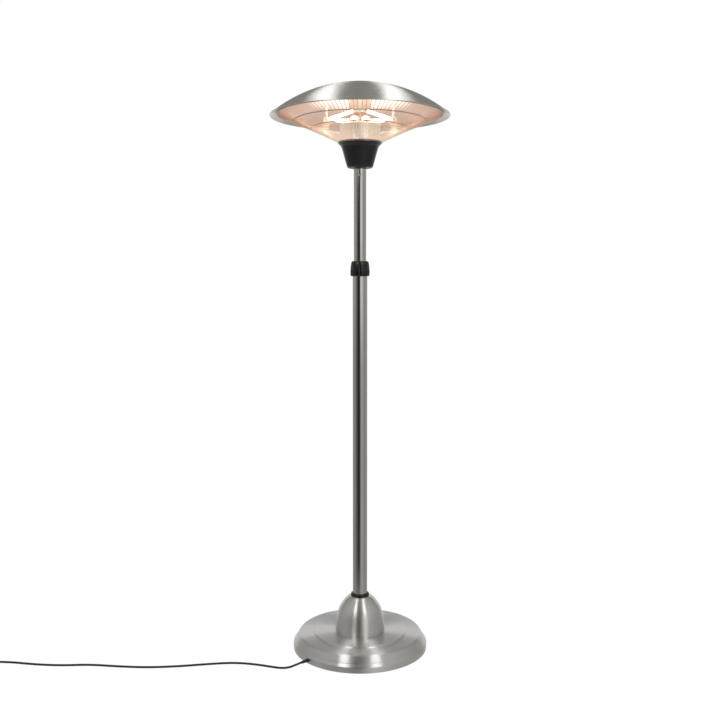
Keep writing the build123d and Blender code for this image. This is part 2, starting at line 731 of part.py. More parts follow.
def make_selector():
    """Rotary selector: switch body in the boss, spindle and knob."""
    back_y = BOSS_FACE_Y - BOSS_FACE_T
    knob_y = BOSS_FACE_Y + CLEAR
    body = switch_bar(back_y - SWITCH_L, back_y, SWITCH_R)
    body -= switch_bar(back_y - SPINDLE_IN_SWITCH - CLEAR, back_y + 1, SPINDLE_R + RUN)
    spindle = switch_bar(back_y - SPINDLE_IN_SWITCH, knob_y + SPINDLE_IN_KNOB, SPINDLE_R)
    skirt = switch_bar(knob_y, knob_y + KNOB_H / 3, KNOB_R)
    grip_l = 2 * KNOB_H / 3
    grip = Pos(0, knob_y + KNOB_H / 3 + grip_l / 2, KNOB_Z) * Box(KNOB_GRIP_W, grip_l, 1.8 * KNOB_R)
    core = switch_bar(knob_y, knob_y + KNOB_H, 1.5 * SPINDLE_R)
    knob = skirt + grip + core
    knob -= switch_bar(knob_y - 1, knob_y + SPINDLE_IN_KNOB, SPINDLE_R + RUN / 2)
    return one(body), one(spindle), one(knob)


# ================================================================ can, column and leads
def make_lamp_can():
    """Spun steel can on the hub plate, closed at the top round the column's opening."""
    can = disc(CAN_R, CAN_H, HUB_PLATE_TOP_Z) - disc(CAN_R - CAN_T, CAN_H - CAN_T, HUB_PLATE_TOP_Z)
    return one(can - disc(COLUMN_HOLE_R, 3 * CAN_T, CAN_TOP_Z - 2 * CAN_T))


def flange_top():
    """Height of the column flange's top, just under the reflector."""
    return cap_height(REFLECTOR_IN_R, COLUMN_FLANGE_R) - CLEAR


def make_column():
    """Steel column from the can up to the head's flange."""
    height = flange_top() - COLUMN_FLANGE_T - CAN_TOP_Z
    return one(tube(COLUMN_R, COLUMN_R - COLUMN_T, height, CAN_TOP_Z))


def make_column_flange():
    """Round plate on the column, held to the dome's studs."""
    z = flange_top() - COLUMN_FLANGE_T
    plate = disc(COLUMN_FLANGE_R, COLUMN_FLANGE_T, z)
    plate -= disc(HUB_PLATE_HOLE_R, 3 * COLUMN_FLANGE_T, z - COLUMN_FLANGE_T)
    for x, y in spots(STUD_COUNT, STUD_PCR, STUD_START):
        plate -= disc(STUD_R + SLIP, 3 * COLUMN_FLANGE_T, z - COLUMN_FLANGE_T, x, y)
    return one(plate)


def make_dome_studs():
    """Studs welded inside the dome, and their nuts under the column flange."""
    nut_z = flange_top() - COLUMN_FLANGE_T - STUD_NUT_H
    low = nut_z - STUD_SPARE
    inside = Pos(0, 0, SPHERE_Z) * Sphere(DOME_IN_R)
    studs, nuts = [], []
    for x, y in spots(STUD_COUNT, STUD_PCR, STUD_START):
        studs.append(one(disc(STUD_R, SPHERE_R, low, x, y) & inside))
        nut = hexagon(STUD_NUT_ACROSS, STUD_NUT_H, nut_z, x, y)
        nuts.append(one(nut - disc(STUD_R + RUN, 3 * STUD_NUT_H, nut_z - STUD_NUT_H, x, y)))
    return studs, nuts


def make_column_leads():
    """Three insulated leads that run up through the column."""
    low = HUB_TOP_Z + HUB_PLATE_T
    high = cap_height(REFLECTOR_OUT_R, 0) + LEAD_R
    return [one(disc(LEAD_R, high - low, low, x, y)) for x, y in spots(LAMP_COUNT, LEAD_RING_R, 30)]


def make_lamp_leads():
    """Three leads between the dome and the reflector, out to the lamp brackets."""
    middle = REFLECTOR_OUT_R + REFLECTOR_GAP / 2
    near = LEAD_RING_R + LEAD_R + WELD
    far = bracket_radius() - BRACKET_T
    leads = []
    for i in range(LAMP_COUNT):
        plane = Plane.XZ.rotated((0, 0, 30 + 360.0 * i / LAMP_COUNT))
        start = (near, cap_height(middle, near))
        half = ((near + far) / 2, cap_height(middle, (near + far) / 2))
        path = plane * ThreePointArc(start, half, (far, cap_height(middle, far)))
        leads.append(one(sweep(Plane(path @ 0, z_dir=path % 0) * Circle(LEAD_R), path)))
    return leads


# ================================================================ dome
def make_dome_cover():
    """Spherical dome with a rolled hem round its rim."""
    dome = cap_solid(SPHERE_R, DOME_R) - Pos(0, 0, SPHERE_Z) * Sphere(DOME_IN_R)
    hem = Pos(0, 0, RIM_Z + HEM_R) * Torus(DOME_R - HEM_R, HEM_R)
    return one(dome + hem)


def make_reflector():
    """Polished inner dome with holes for the leads, studs and brackets."""
    shell = cap_solid(REFLECTOR_OUT_R, REFLECTOR_R) - Pos(0, 0, SPHERE_Z) * Sphere(REFLECTOR_IN_R)
    low = cap_height(REFLECTOR_IN_R, COLUMN_FLANGE_R)
    shell -= disc(HUB_PLATE_HOLE_R, DOME_H, low)
    for x, y in spots(STUD_COUNT, STUD_PCR, STUD_START):
        shell -= disc(STUD_R + SLIP, DOME_H, low, x, y)
    return one(shell)


# ================================================================ lamps
def corner_distance():
    """Distance from the axis to where two lamp axes cross."""
    return LAMP_OFFSET / cos(CORNER_HALF)


def bracket_radius():
    """Inner face of a bracket plate, just past the slanted ends of two caps."""
    cap_back = LAMP_CORNER_GAP * sin(CORNER_HALF)
    return corner_distance() - cap_back + CAP_R * cos(CORNER_HALF) + CLEAR


def lamp_place(i):
    """Place of one lamp: its axis is the local X, at right angles to a radius."""
    return Rot(0, 0, 90 + 360.0 * i / LAMP_COUNT) * Pos(LAMP_OFFSET, 0, LAMP_Z) * Rot(0, 0, 90)


def lamp_bar(start, end, radius):
    """Bar along a lamp's own axis."""
    return Pos((start + end) / 2, 0, 0) * Rot(0, 90, 0) * Cylinder(radius, end - start)


def make_lamps():
    """Quartz tubes, filaments, ceramic caps and end pins of the three lamps."""
    glass, filaments, caps, pins = [], [], [], []
    slant = (bracket_radius() - corner_distance()) / sin(CORNER_HALF)
    pin_end = CAP_END + LAMP_CORNER_GAP + slant - PIN_R / tan(CORNER_HALF) - WELD
    for i in range(LAMP_COUNT):
        place = lamp_place(i)
        tube_solid = lamp_bar(-LAMP_END, LAMP_END, LAMP_GLASS_R)
        tube_solid -= lamp_bar(-LAMP_END - 1, LAMP_END + 1, LAMP_GLASS_R - LAMP_GLASS_T)
        glass.append(one(place * tube_solid))
        filaments.append(one(place * lamp_bar(-LAMP_END, LAMP_END, FILAMENT_R)))
        for side in (-1, 1):
            ends = sorted((side * LAMP_END, side * CAP_END))
            caps.append(one(place * lamp_bar(ends[0], ends[1], CAP_R)))
            ends = sorted((side * CAP_END, side * pin_end))
            pins.append(one(place * lamp_bar(ends[0], ends[1], PIN_R)))
    return glass, filaments, caps, pins


def make_brackets():
    """Bracket plates between the lamp ends, each on a strap down from the reflector."""
    inside = Pos(0, 0, SPHERE_Z) * Sphere(REFLECTOR_IN_R)
    near = bracket_radius()
    brackets = []
    for turn in (Rot(0, 0, 30 + 360.0 * i / LAMP_COUNT) for i in range(LAMP_COUNT)):
        plate = Box(BRACKET_T, BRACKET_W, BRACKET_H, align=(Align.MIN, Align.CENTER, Align.CENTER))
        strap = Box(BRACKET_T, STRAP_W, DOME_H, align=(Align.MIN, Align.CENTER, Align.MIN))
        piece = Pos(near, 0, LAMP_Z) * (plate + strap)
        brackets.append(one(turn * piece & inside))
    return brackets


# ================================================================ guard
def guard_height(radius):
    """Height of the guard's wires at a radius: two straight runs with a slight bend."""
    inner_z = HUB_PLATE_TOP_Z + INNER_RING_R
    if radius < GUARD_BEND_R:
        share = (radius - GUARD_INNER_R) / (GUARD_BEND_R - GUARD_INNER_R)
        return inner_z + share * (GUARD_BEND_Z - inner_z)
    share = (radius - GUARD_BEND_R) / (GUARD_OUTER_R - GUARD_BEND_R)
    return GUARD_BEND_Z + share * (GUARD_OUTER_Z - GUARD_BEND_Z)


def make_guard_wires():
    """Straight-ribbed cone of radial wires between the inner and the outer ring."""
    inner_z = HUB_PLATE_TOP_Z + INNER_RING_R
    low_slope = atan2(GUARD_BEND_Z - inner_z, GUARD_BEND_R - GUARD_INNER_R)
    high_slope = atan2(GUARD_OUTER_Z - GUARD_BEND_Z, GUARD_OUTER_R - GUARD_BEND_R)
    near = GUARD_INNER_R + (INNER_RING_R + WELD) * cos(low_slope)
    far = GUARD_OUTER_R - (OUTER_RING_R + WELD) * cos(high_slope)
    start = Vector(near, 0, guard_height(near))
    bend = Vector(GUARD_BEND_R, 0, GUARD_BEND_Z)
    end = Vector(far, 0, guard_height(far))
    path = Polyline(start, bend, end)
    wire = one(sweep(Plane(start, z_dir=bend - start) * Circle(WIRE_R), path, transition=Transition.RIGHT))
    return [Rot(0, 0, 360.0 * (i + 0.5) / WIRE_COUNT) * wire for i in range(WIRE_COUNT)]


def ring_above(radius, thickness):
    """Ring laid on the inner side of the wires at a radius."""
    slope = atan2(guard_height(radius + 1) - guard_height(radius), 1)
    lift = WIRE_R + thickness + WELD
    at = radius - lift * sin(slope)
    return Pos(0, 0, guard_height(radius) + lift * cos(slope)) * Torus(at, thickness)


def make_guard_rings():
    """Rings that carry the guard's wires."""
    outer = Pos(0, 0, GUARD_OUTER_Z) * Torus(GUARD_OUTER_R, OUTER_RING_R)
    inner = Pos(0, 0, HUB_PLATE_TOP_Z + INNER_RING_R) * Torus(GUARD_INNER_R, INNER_RING_R)
    upper = ring_above(MID_RING_AT, MID_RING_R)
    lower = ring_above(GUARD_BEND_R + 2 * WIRE_R, MID_RING_R)
    return one(outer), one(upper), one(lower), one(inner)


def make_guard_clips():
    """Blocks that hold the guard's outer ring up to the inside of the dome."""
    inside = Pos(0, 0, SPHERE_Z) * Sphere(DOME_IN_R)
    block = Box(CLIP_D, CLIP_W, DOME_H, align=(Align.CENTER, Align.CENTER, Align.MIN))
    ring = Pos(0, 0, GUARD_OUTER_Z) * Torus(GUARD_OUTER_R, OUTER_RING_R + WELD)
    clips = []
    for place in around(CLIP_COUNT, GUARD_OUTER_R + CLIP_SHIFT, 30):
        clip = place * Pos(0, 0, GUARD_OUTER_Z + CLIP_OVER_RING) * block
        clips.append(one((clip & inside) - ring))
    return clips


# ================================================================ mains cord
def gland_bar(start, end, radius):
    """Bar along the cord's exit direction, between two distances from the axis."""
    bar = Pos((start + end) / 2, 0, GLAND_Z) * Rot(0, 90, 0) * Cylinder(radius, end - start)
    return Rot(0, 0, CORD_ANGLE) * bar


def make_gland():
    """Cable gland through the base's lip, with its nut inside."""
    wall_in = BASE_R - SHELL_T
    outer = BASE_R + GLAND_OUT
    bore_end = wall_in - GLAND_THREAD_L
    collar = gland_bar(BASE_R - GLAND_R, outer, GLAND_R) - disc(BASE_R, LIP_TOP_Z, 0)
    gland = collar + gland_bar(bore_end, BASE_R, GLAND_THREAD_R)
    gland -= gland_bar(bore_end - 1, outer + 1, CORD_R + SLIP)
    flat = wall_in - gland_sag(GLAND_NUT_ACROSS / sqrt(3))
    blank = extrude(RegularPolygon(GLAND_NUT_ACROSS / 2, 6, major_radius=False), amount=GLAND_NUT_T)
    nut = Pos(flat - GLAND_NUT_T, 0, GLAND_Z) * Rot(0, 90, 0) * Rot(0, 0, 30) * blank
    nut = Rot(0, 0, CORD_ANGLE) * nut - gland_bar(bore_end, BASE_R, GLAND_THREAD_R + RUN)
    return one(gland), one(nut)


def gland_sag(half_width):
    """How far the round lip falls away from a flat face of this half width."""
    inner = BASE_R - SHELL_T
    return inner - sqrt(inner**2 - half_width**2) + WELD


def make_strain_relief():
    """Tapered rubber sleeve on the cord outside the gland."""
    start = BASE_R + GLAND_OUT
    cone = Cone(RELIEF_R, RELIEF_TIP_R, RELIEF_L)
    piece = Pos(start + RELIEF_L / 2, 0, GLAND_Z) * Rot(0, 90, 0) * cone
    piece = Rot(0, 0, CORD_ANGLE) * piece
    return one(piece - gland_bar(start - 1, start + RELIEF_L + 1, CORD_R))


def route_path(points):
    """Straight runs joined by tangent arcs, each as large as its two runs allow."""
    radii = []
    for before, here, after in zip(points, points[1:], points[2:]):
        shorter = min((here - before).length, (after - here).length)
        turn = radians((here - before).get_angle(after - here))
        radii.append(0.45 * shorter / tan(turn / 2))
    path = FilletPolyline(*points, radius=radii)
    return path, radii


def cord_exit():
    """Point at floor level under the strain relief's tip; the cord's places are counted from it."""
    distance = BASE_R + GLAND_OUT + RELIEF_L
    return Vector(distance * cos(radians(CORD_ANGLE)), distance * sin(radians(CORD_ANGLE)), 0)


def make_cord():
    """Loose cord from the strain relief to the coil."""
    first = cord_exit()
    points = [first + Vector(*p) for p in [(0, 0, GLAND_Z)] + CORD_ROUTE]
    path, radii = route_path(points)
    cord = one(sweep(Plane(path @ 0, z_dir=path % 0) * Circle(CORD_R), path))
    share = cord.volume / (pi * CORD_R**2 * path.length)
    print("cord leaves at", round(first.X, 2), round(first.Y, 2), "bend radii", [round(r) for r in radii])
    print("cord length", round(path.length, 1), "volume against section times length", round(share, 4))
    return cord


def make_coil():
    """Closed ring of the shape that the wound cord fills."""
    x, y = cord_exit().X + COIL_CENTRE[0], cord_exit().Y + COIL_CENTRE[1]
    outer = COIL_R + COIL_WIDTH / 2
    ring = disc(outer, COIL_H, 0, x, y) - disc(outer - COIL_WIDTH, 3 * COIL_H, -COIL_H, x, y)
    return one(fillet(ring.edges().filter_by(GeomType.CIRCLE), COIL_ROUND))


def plug_place():
    """Place of the plug: its axis is the local Z, from the nose tip towards the pins."""
    return Pos(cord_exit() + Vector(*PLUG_TIP)) * Rot(-90 + PLUG_TILT, 0, 0)


def make_plug():
    """Moulded two-pin plug with a tapered nose, lying beside the coil."""
    grip_end = PLUG_NOSE_L + PLUG_GRIP_L
    length = grip_end + PLUG_FACE_L
    outline = [
        (0, 0),
        (PLUG_NOSE_R, 0),
        (PLUG_NECK_R, PLUG_NOSE_L),
        (PLUG_GRIP_R, grip_end),
        (PLUG_R, grip_end + PLUG_EDGE),
        (PLUG_R, length - PLUG_EDGE),
        (PLUG_R - PLUG_EDGE, length),
        (0, length),
    ]
    place = plug_place()
    body = place * spun(outline)
    pins = []
    for side in (-0.5, 0.5):
        pin = disc(PLUG_PIN_R, PLUG_PIN_L, length, side * PLUG_PIN_GAP, 0)
        pins.append(one(place * pin))
    return one(body), pins


# ================================================================ leads inside the base and pole
def make_base_lead():
    """Lead from the gland along the ballast's channel and up into the pole."""
    turn = radians(CORD_ANGLE)
    out = BASE_R - SHELL_T - GLAND_THREAD_L
    low = Vector(0, 0, GLAND_Z)
    start = Vector(out * cos(turn), out * sin(turn), GLAND_Z)
    path = FilletPolyline(start, low, Vector(0, 0, LEAD_COIL_Z), radius=LEAD_BEND_R)
    return one(sweep(Plane(path @ 0, z_dir=path % 0) * Circle(CORD_R), path))


def make_lead_coil():
    """Coiled lead in the lower tube, which stretches as the pole telescopes."""
    return one(disc(LEAD_COIL_R, UPPER_Z - LEAD_COIL_Z, LEAD_COIL_Z))


def make_mast_lead():
    """Straight lead inside the upper tube, up to the hub."""
    return one(disc(CORD_R, HUB_TOP_Z - UPPER_Z, UPPER_Z))


def saddle_block(length, width, height):
    """Block across the lead's channel, standing on the bottom plate."""
    block = Box(length, width, height, align=(Align.CENTER, Align.CENTER, Align.MIN))
    return Rot(0, 0, CORD_ANGLE) * Pos(SADDLE_R, 0, BALLAST_Z) * block


def make_saddle():
    """Saddle that clamps the lead to the bottom plate, and its two screws."""
    height = GLAND_Z - BALLAST_Z + CORD_R + SADDLE_T
    saddle = saddle_block(SADDLE_L, SADDLE_W, height)
    saddle -= gland_bar(SADDLE_R - SADDLE_L, SADDLE_R + SADDLE_L, CORD_R)
    top = BALLAST_Z + height
    screws = []
    for side in (-1, 1):
        place = Rot(0, 0, CORD_ANGLE) * Pos(SADDLE_R, side * SADDLE_SCREW_AT, 0)
        saddle -= place * disc(SADDLE_SCREW_R + SLIP, height + 2, BALLAST_Z - 1)
        shank = disc(SADDLE_SCREW_R, height, BALLAST_Z)
        head = disc(SADDLE_SCREW_HEAD_R, SADDLE_SCREW_HEAD_H, top)
        screws.append(one(place * (shank + head)))
    return one(saddle), screws


bolts, washers, nuts = make_flange_fasteners()
gland, gland_nut = make_gland()
plug_body, plug_pins = make_plug()
switch_body, spindle, knob = make_selector()
studs, stud_nuts = make_dome_studs()
glass, filaments, caps, pins = make_lamps()
outer_ring, upper_ring, lower_ring, inner_ring = make_guard_rings()
saddle, saddle_screws = make_saddle()

write("base_shell", make_base_shell())
write("ballast_disc", make_ballast())
write("bottom_plate", make_bottom_plate())
write("rubber_feet", *make_feet())
write("foot_screws", *make_foot_screws())
write("pole_flange", make_pole_flange())
write("flange_bolts", *bolts)
write("flange_washers", *washers)
write("flange_nuts", *nuts)
write("bell_cover", make_bell_cover())
write("seal_ring", make_seal_ring())
write("lower_tube", make_lower_tube())
write("lock_socket", make_lock_socket())
write("clamp_sleeve", make_clamp_sleeve())
write("lock_nut", make_lock_nut())
write("upper_tube", make_upper_tube())
write("guide_bush", make_guide_bush())
write("bush_rivets", *make_bush_rivets())
write("hub_housing", make_hub_housing())
write("hub_stem", make_hub_stem())
write("stem_screws", *make_stem_screws())
write("hub_plate", make_hub_plate())
write("hub_screws", *make_hub_screws())
write("terminal_block", make_terminal_block())
write("tilt_switch", make_tilt_switch())
write("selector_switch", switch_body)
write("knob_spindle", spindle)
write("selector_knob", knob)
write("lamp_can", make_lamp_can())
write("column", make_column())
write("column_flange", make_column_flange())
write("column_leads", *make_column_leads())
write("lamp_leads", *make_lamp_leads())
write("dome_cover", make_dome_cover())
write("reflector", make_reflector())
write("dome_studs", *studs)
write("stud_nuts", *stud_nuts)
write("lamp_glass", *glass)
write("lamp_filaments", *filaments)
write("lamp_caps", *caps)
write("lamp_pins", *pins)
write("lamp_brackets", *make_brackets())
write("guard_wires", *make_guard_wires())
write("guard_outer_ring", outer_ring)
write("guard_upper_ring", upper_ring)
write("guard_lower_ring", lower_ring)
write("guard_inner_ring", inner_ring)
write("guard_clips", *make_guard_clips())
write("cable_gland", gland)
write("gland_nut", gland_nut)
write("strain_relief", make_strain_relief())
write("mains_cord", make_cord())
write("cord_coil", make_coil())
write("plug_body", plug_body)
write("plug_pins", *plug_pins)
write("cord_saddle", saddle)
write("saddle_screws", *saddle_screws)
write("base_lead", make_base_lead())
write("lead_coil", make_lead_coil())
write("mast_lead", make_mast_lead())
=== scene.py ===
"""Looks of a free-standing halogen patio heater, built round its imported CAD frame.

Metres, +Z up, the front faces -Y. Each sub-assembly is a class that holds its own sizes.
"""

import json
import logging
import math
from dataclasses import dataclass
from enum import Enum
from typing import Any, Callable, Iterable

import bmesh
import bpy
from mathutils import Matrix, Vector

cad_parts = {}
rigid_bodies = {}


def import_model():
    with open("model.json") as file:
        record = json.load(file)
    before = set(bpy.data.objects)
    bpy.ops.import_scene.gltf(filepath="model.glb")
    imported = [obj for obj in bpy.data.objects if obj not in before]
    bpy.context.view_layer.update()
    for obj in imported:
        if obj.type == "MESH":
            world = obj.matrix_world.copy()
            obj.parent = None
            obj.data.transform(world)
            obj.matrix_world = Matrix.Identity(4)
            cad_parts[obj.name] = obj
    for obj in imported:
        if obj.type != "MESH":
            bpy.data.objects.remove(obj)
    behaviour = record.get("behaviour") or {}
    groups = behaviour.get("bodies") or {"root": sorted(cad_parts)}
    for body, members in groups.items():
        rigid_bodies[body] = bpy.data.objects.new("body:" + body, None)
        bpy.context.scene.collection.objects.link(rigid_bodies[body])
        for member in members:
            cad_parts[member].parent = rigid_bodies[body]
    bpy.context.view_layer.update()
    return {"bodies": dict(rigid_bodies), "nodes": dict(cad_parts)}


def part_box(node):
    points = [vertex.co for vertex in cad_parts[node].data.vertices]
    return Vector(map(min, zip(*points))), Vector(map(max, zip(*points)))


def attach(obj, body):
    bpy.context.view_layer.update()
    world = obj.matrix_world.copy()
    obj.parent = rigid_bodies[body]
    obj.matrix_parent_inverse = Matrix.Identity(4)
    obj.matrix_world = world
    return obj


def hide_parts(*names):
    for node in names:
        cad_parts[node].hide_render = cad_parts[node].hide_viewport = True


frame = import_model()
log = logging.getLogger("patio_heater")

MM = 0.001
FULL_TURN = 2 * math.pi
Tree = bpy.types.NodeTree
Socket = bpy.types.NodeSocket
Mesh = bpy.types.Mesh
Material = bpy.types.Material
Colour = tuple[float, float, float]
Outline = list[tuple[float, float]]
Place = tuple[float, float, float]
Corners = list[tuple[float, float, float]]


class Body(Enum):
    """Bodies of the frame that pieces ride on."""

    BASE = "base"
    LOCK = "lock"
    MAST = "mast"
    KNOB = "knob"


class Grain(Enum):
    """Ways that a metal surface was worked."""

    TURNED = "turned_grain"
    DRAWN = "drawn_grain"


# ---------------------------------------------------------------- node helpers
def feed(tree: Tree, socket: Socket, value: Any) -> None:
    """Link another socket into this one, or set its plain value."""
    if isinstance(value, Socket):
        tree.links.new(value, socket)
    else:
        socket.default_value = value


def place(tree: Tree, kind: str, inputs: dict | None = None, **fields: Any) -> bpy.types.Node:
    """Add one node to a tree.

    Args:
        tree: The tree that gets the node.
        kind: Blender's type name of the node.
        inputs: Values or sockets for its inputs, by name or number.
        fields: Settings of the node itself, made before its inputs.

    Returns:
        The new node.
    """
    node = tree.nodes.new(kind)
    for field, value in fields.items():
        setattr(node, field, value)
    for key, value in (inputs or {}).items():
        feed(tree, node.inputs[key], value)
    return node


def calc(tree: Tree, operation: str, *terms: Any, clamp: bool = False) -> Socket:
    """Add a math node on the given terms and return its result."""
    return place(
        tree, "ShaderNodeMath", dict(enumerate(terms)), operation=operation, use_clamp=clamp
    ).outputs[0]


def spread(
    tree: Tree, value: Any, low: float, high: float, to_low: float = 0.0, to_high: float = 1.0
) -> Socket:
    """Map a value from one range to another with a smooth step.

    Args:
        tree: The tree to work in.
        value: The socket or number to map.
        low: Value that becomes to_low.
        high: Value that becomes to_high.
        to_low: Result at low.
        to_high: Result at high.

    Returns:
        The mapped value.
    """
    inputs = {"Value": value, "From Min": low, "From Max": high, "To Min": to_low, "To Max": to_high}
    return place(tree, "ShaderNodeMapRange", inputs, interpolation_type="SMOOTHSTEP").outputs["Result"]


def blend_colour(tree: Tree, share: Any, first: Any, second: Any) -> Socket:
    """Mix two colours.

    Args:
        tree: The tree to work in.
        share: How much of the second colour.
        first: Colour or socket.
        second: Colour or socket.

    Returns:
        The mixed colour.
    """
    node = place(tree, "ShaderNodeMix", data_type="RGBA")
    sockets = [s for s in node.inputs if s.enabled]
    feed(tree, sockets[0], share)
    for socket, colour in zip(sockets[1:3], (first, second)):
        feed(tree, socket, (*colour, 1.0) if isinstance(colour, tuple) else colour)
    return next(s for s in node.outputs if s.enabled)


def noise(tree: Tree, vector: Any, scale: Any, detail: float = 2.0) -> Socket:
    """Add a noise texture and return its value."""
    return place(
        tree, "ShaderNodeTexNoise", {"Vector": vector, "Scale": scale, "Detail": detail}
    ).outputs[0]


def axis_parts(tree: Tree, where: Socket) -> tuple[Socket, Socket]:
    """Split a position into its distance from the Z axis and its height."""
    split = place(tree, "ShaderNodeSeparateXYZ", {0: where})
    flat = place(tree, "ShaderNodeCombineXYZ", {0: split.outputs[0], 1: split.outputs[1]})
    radius = place(tree, "ShaderNodeVectorMath", {0: flat.outputs[0]}, operation="LENGTH").outputs["Value"]
    return radius, split.outputs[2]


TONE_AND_HEIGHT = {"Tone": "NodeSocketFloat", "Height": "NodeSocketFloat"}
# Colours of the lamps' warm light painted as emission on the metal round them, dim to bright.
GLOW_STOPS = (
    (0.0, (0.10, 0.052, 0.035)),
    (0.3, (0.24, 0.150, 0.105)),
    (0.6, (0.75, 0.56, 0.40)),
    (0.9, (1.0, 0.93, 0.80)),
)


class ShaderKit:
    """Surface effects that several finishes share, each built once as a node group."""

    def __init__(self) -> None:
        """Build every effect."""
        self.groups = {
            Grain.TURNED.value: self._turned_grain(),
            Grain.DRAWN.value: self._drawn_grain(),
            "edge_wear": self._edge_wear(),
            "dust_film": self._dust_film(),
            "smears": self._smears(),
            "moulded_skin": self._moulded_skin(),
            "lamp_glow": self._lamp_glow(),
        }

    @staticmethod
    def _start(name: str, inputs: dict[str, float], outputs: dict[str, str]) -> tuple:
        """Make an empty group with its sockets.

        Args:
            name: Name of the group.
            inputs: Default of each float input.
            outputs: Socket type of each output.

        Returns:
            The tree, its input node, its output node and the object coordinates.
        """
        tree = bpy.data.node_groups.new(name, "ShaderNodeTree")
        for label, default in inputs.items():
            socket = tree.interface.new_socket(label, in_out="INPUT", socket_type="NodeSocketFloat")
            socket.default_value = default
        for label, kind in outputs.items():
            tree.interface.new_socket(label, in_out="OUTPUT", socket_type=kind)
        taken = place(tree, "NodeGroupInput")
        given = place(tree, "NodeGroupOutput")
        where = place(tree, "ShaderNodeTexCoord").outputs["Object"]
        return tree, taken, given, where

    def _turned_grain(self) -> Tree:
        """Fine grooves round the Z axis, as left by spinning and turning."""
        tree, taken, given, where = self._start("turned_grain", {"Scale": 900.0}, TONE_AND_HEIGHT)
        radius, height = axis_parts(tree, where)
        line = place(tree, "ShaderNodeCombineXYZ", {0: radius, 1: height}).outputs[0]
        fine = noise(tree, line, taken.outputs["Scale"], 3.0)
        broad = noise(tree, line, calc(tree, "MULTIPLY", taken.outputs["Scale"], 0.11), 1.0)
        drift = noise(tree, where, 7.0)
        mixed = calc(tree, "ADD", calc(tree, "MULTIPLY", fine, 0.55), calc(tree, "MULTIPLY", broad, 0.45))
        tone = calc(tree, "MULTIPLY", mixed, calc(tree, "MULTIPLY_ADD", drift, 0.4, 0.8), clamp=True)
        feed(tree, given.inputs["Tone"], tone)
        feed(tree, given.inputs["Height"], calc(tree, "ADD", fine, calc(tree, "MULTIPLY", broad, 0.6)))
        return tree

    def _drawn_grain(self) -> Tree:
        """Fine scratches along the Z axis, as on drawn and belt-polished tube."""
        tree, taken, given, where = self._start("drawn_grain", {"Scale": 900.0}, TONE_AND_HEIGHT)
        long = place(tree, "ShaderNodeMapping", {"Vector": where, "Scale": (1.0, 1.0, 0.012)}).outputs[0]
        longer = place(tree, "ShaderNodeMapping", {"Vector": where, "Scale": (1.0, 1.0, 0.05)}).outputs[0]
        fine = noise(tree, long, taken.outputs["Scale"], 3.0)
        broad = noise(tree, longer, calc(tree, "MULTIPLY", taken.outputs["Scale"], 0.09), 1.0)
        mixed = calc(tree, "ADD", calc(tree, "MULTIPLY", fine, 0.65), calc(tree, "MULTIPLY", broad, 0.35))
        feed(tree, given.inputs["Tone"], mixed)
        feed(tree, given.inputs["Height"], fine)
        return tree

    def _edge_wear(self) -> Tree:
        """Mask of rubbed outer edges, read from each mesh's own edge attribute."""
        tree, taken, given, where = self._start("edge_wear", {"Amount": 0.5}, {"Mask": "NodeSocketFloat"})
        edge = place(tree, "ShaderNodeAttribute", attribute_name="edge").outputs["Fac"]
        broken = calc(tree, "ADD", calc(tree, "MULTIPLY", noise(tree, where, 160.0, 4.0), 1.2), -0.1)
        mask = calc(
            tree, "MULTIPLY", calc(tree, "MULTIPLY", edge, broken), taken.outputs["Amount"], clamp=True
        )
        feed(tree, given.inputs["Mask"], mask)
        return tree

    def _dust_film(self) -> Tree:
        """Mask of thin dust on faces that look up."""
        tree, taken, given, where = self._start("dust_film", {"Amount": 0.2}, {"Mask": "NodeSocketFloat"})
        normal = place(tree, "ShaderNodeNewGeometry").outputs["Normal"]
        up = place(tree, "ShaderNodeSeparateXYZ", {0: normal}).outputs[2]
        patch = spread(tree, noise(tree, where, 26.0, 5.0), 0.38, 0.75)
        facing = calc(tree, "MULTIPLY", spread(tree, up, 0.2, 1.0), patch)
        feed(
            tree, given.inputs["Mask"],
            calc(tree, "MULTIPLY", facing, taken.outputs["Amount"], clamp=True),
        )
        return tree

    def _smears(self) -> Tree:
        """Slow change in gloss from handling and wiping, between -1 and 1."""
        tree, taken, given, where = self._start("smears", {"Scale": 9.0}, {"Value": "NodeSocketFloat"})
        slow = noise(tree, where, taken.outputs["Scale"], 5.0)
        feed(tree, given.inputs["Value"], spread(tree, slow, 0.3, 0.7, -1.0, 1.0))
        return tree

    def _moulded_skin(self) -> Tree:
        """Fine eroded texture of a moulded part."""
        tree, taken, given, where = self._start("moulded_skin", {"Scale": 1400.0}, TONE_AND_HEIGHT)
        inputs = {"Vector": where, "Scale": taken.outputs["Scale"]}
        cells = place(tree, "ShaderNodeTexVoronoi", inputs, feature="SMOOTH_F1")
        cloud = noise(tree, where, calc(tree, "MULTIPLY", taken.outputs["Scale"], 0.06), 4.0)
        height = calc(tree, "ADD", cells.outputs["Distance"], calc(tree, "MULTIPLY", cloud, 0.4))
        feed(tree, given.inputs["Height"], height)
        feed(tree, given.inputs["Tone"], cloud)
        return tree

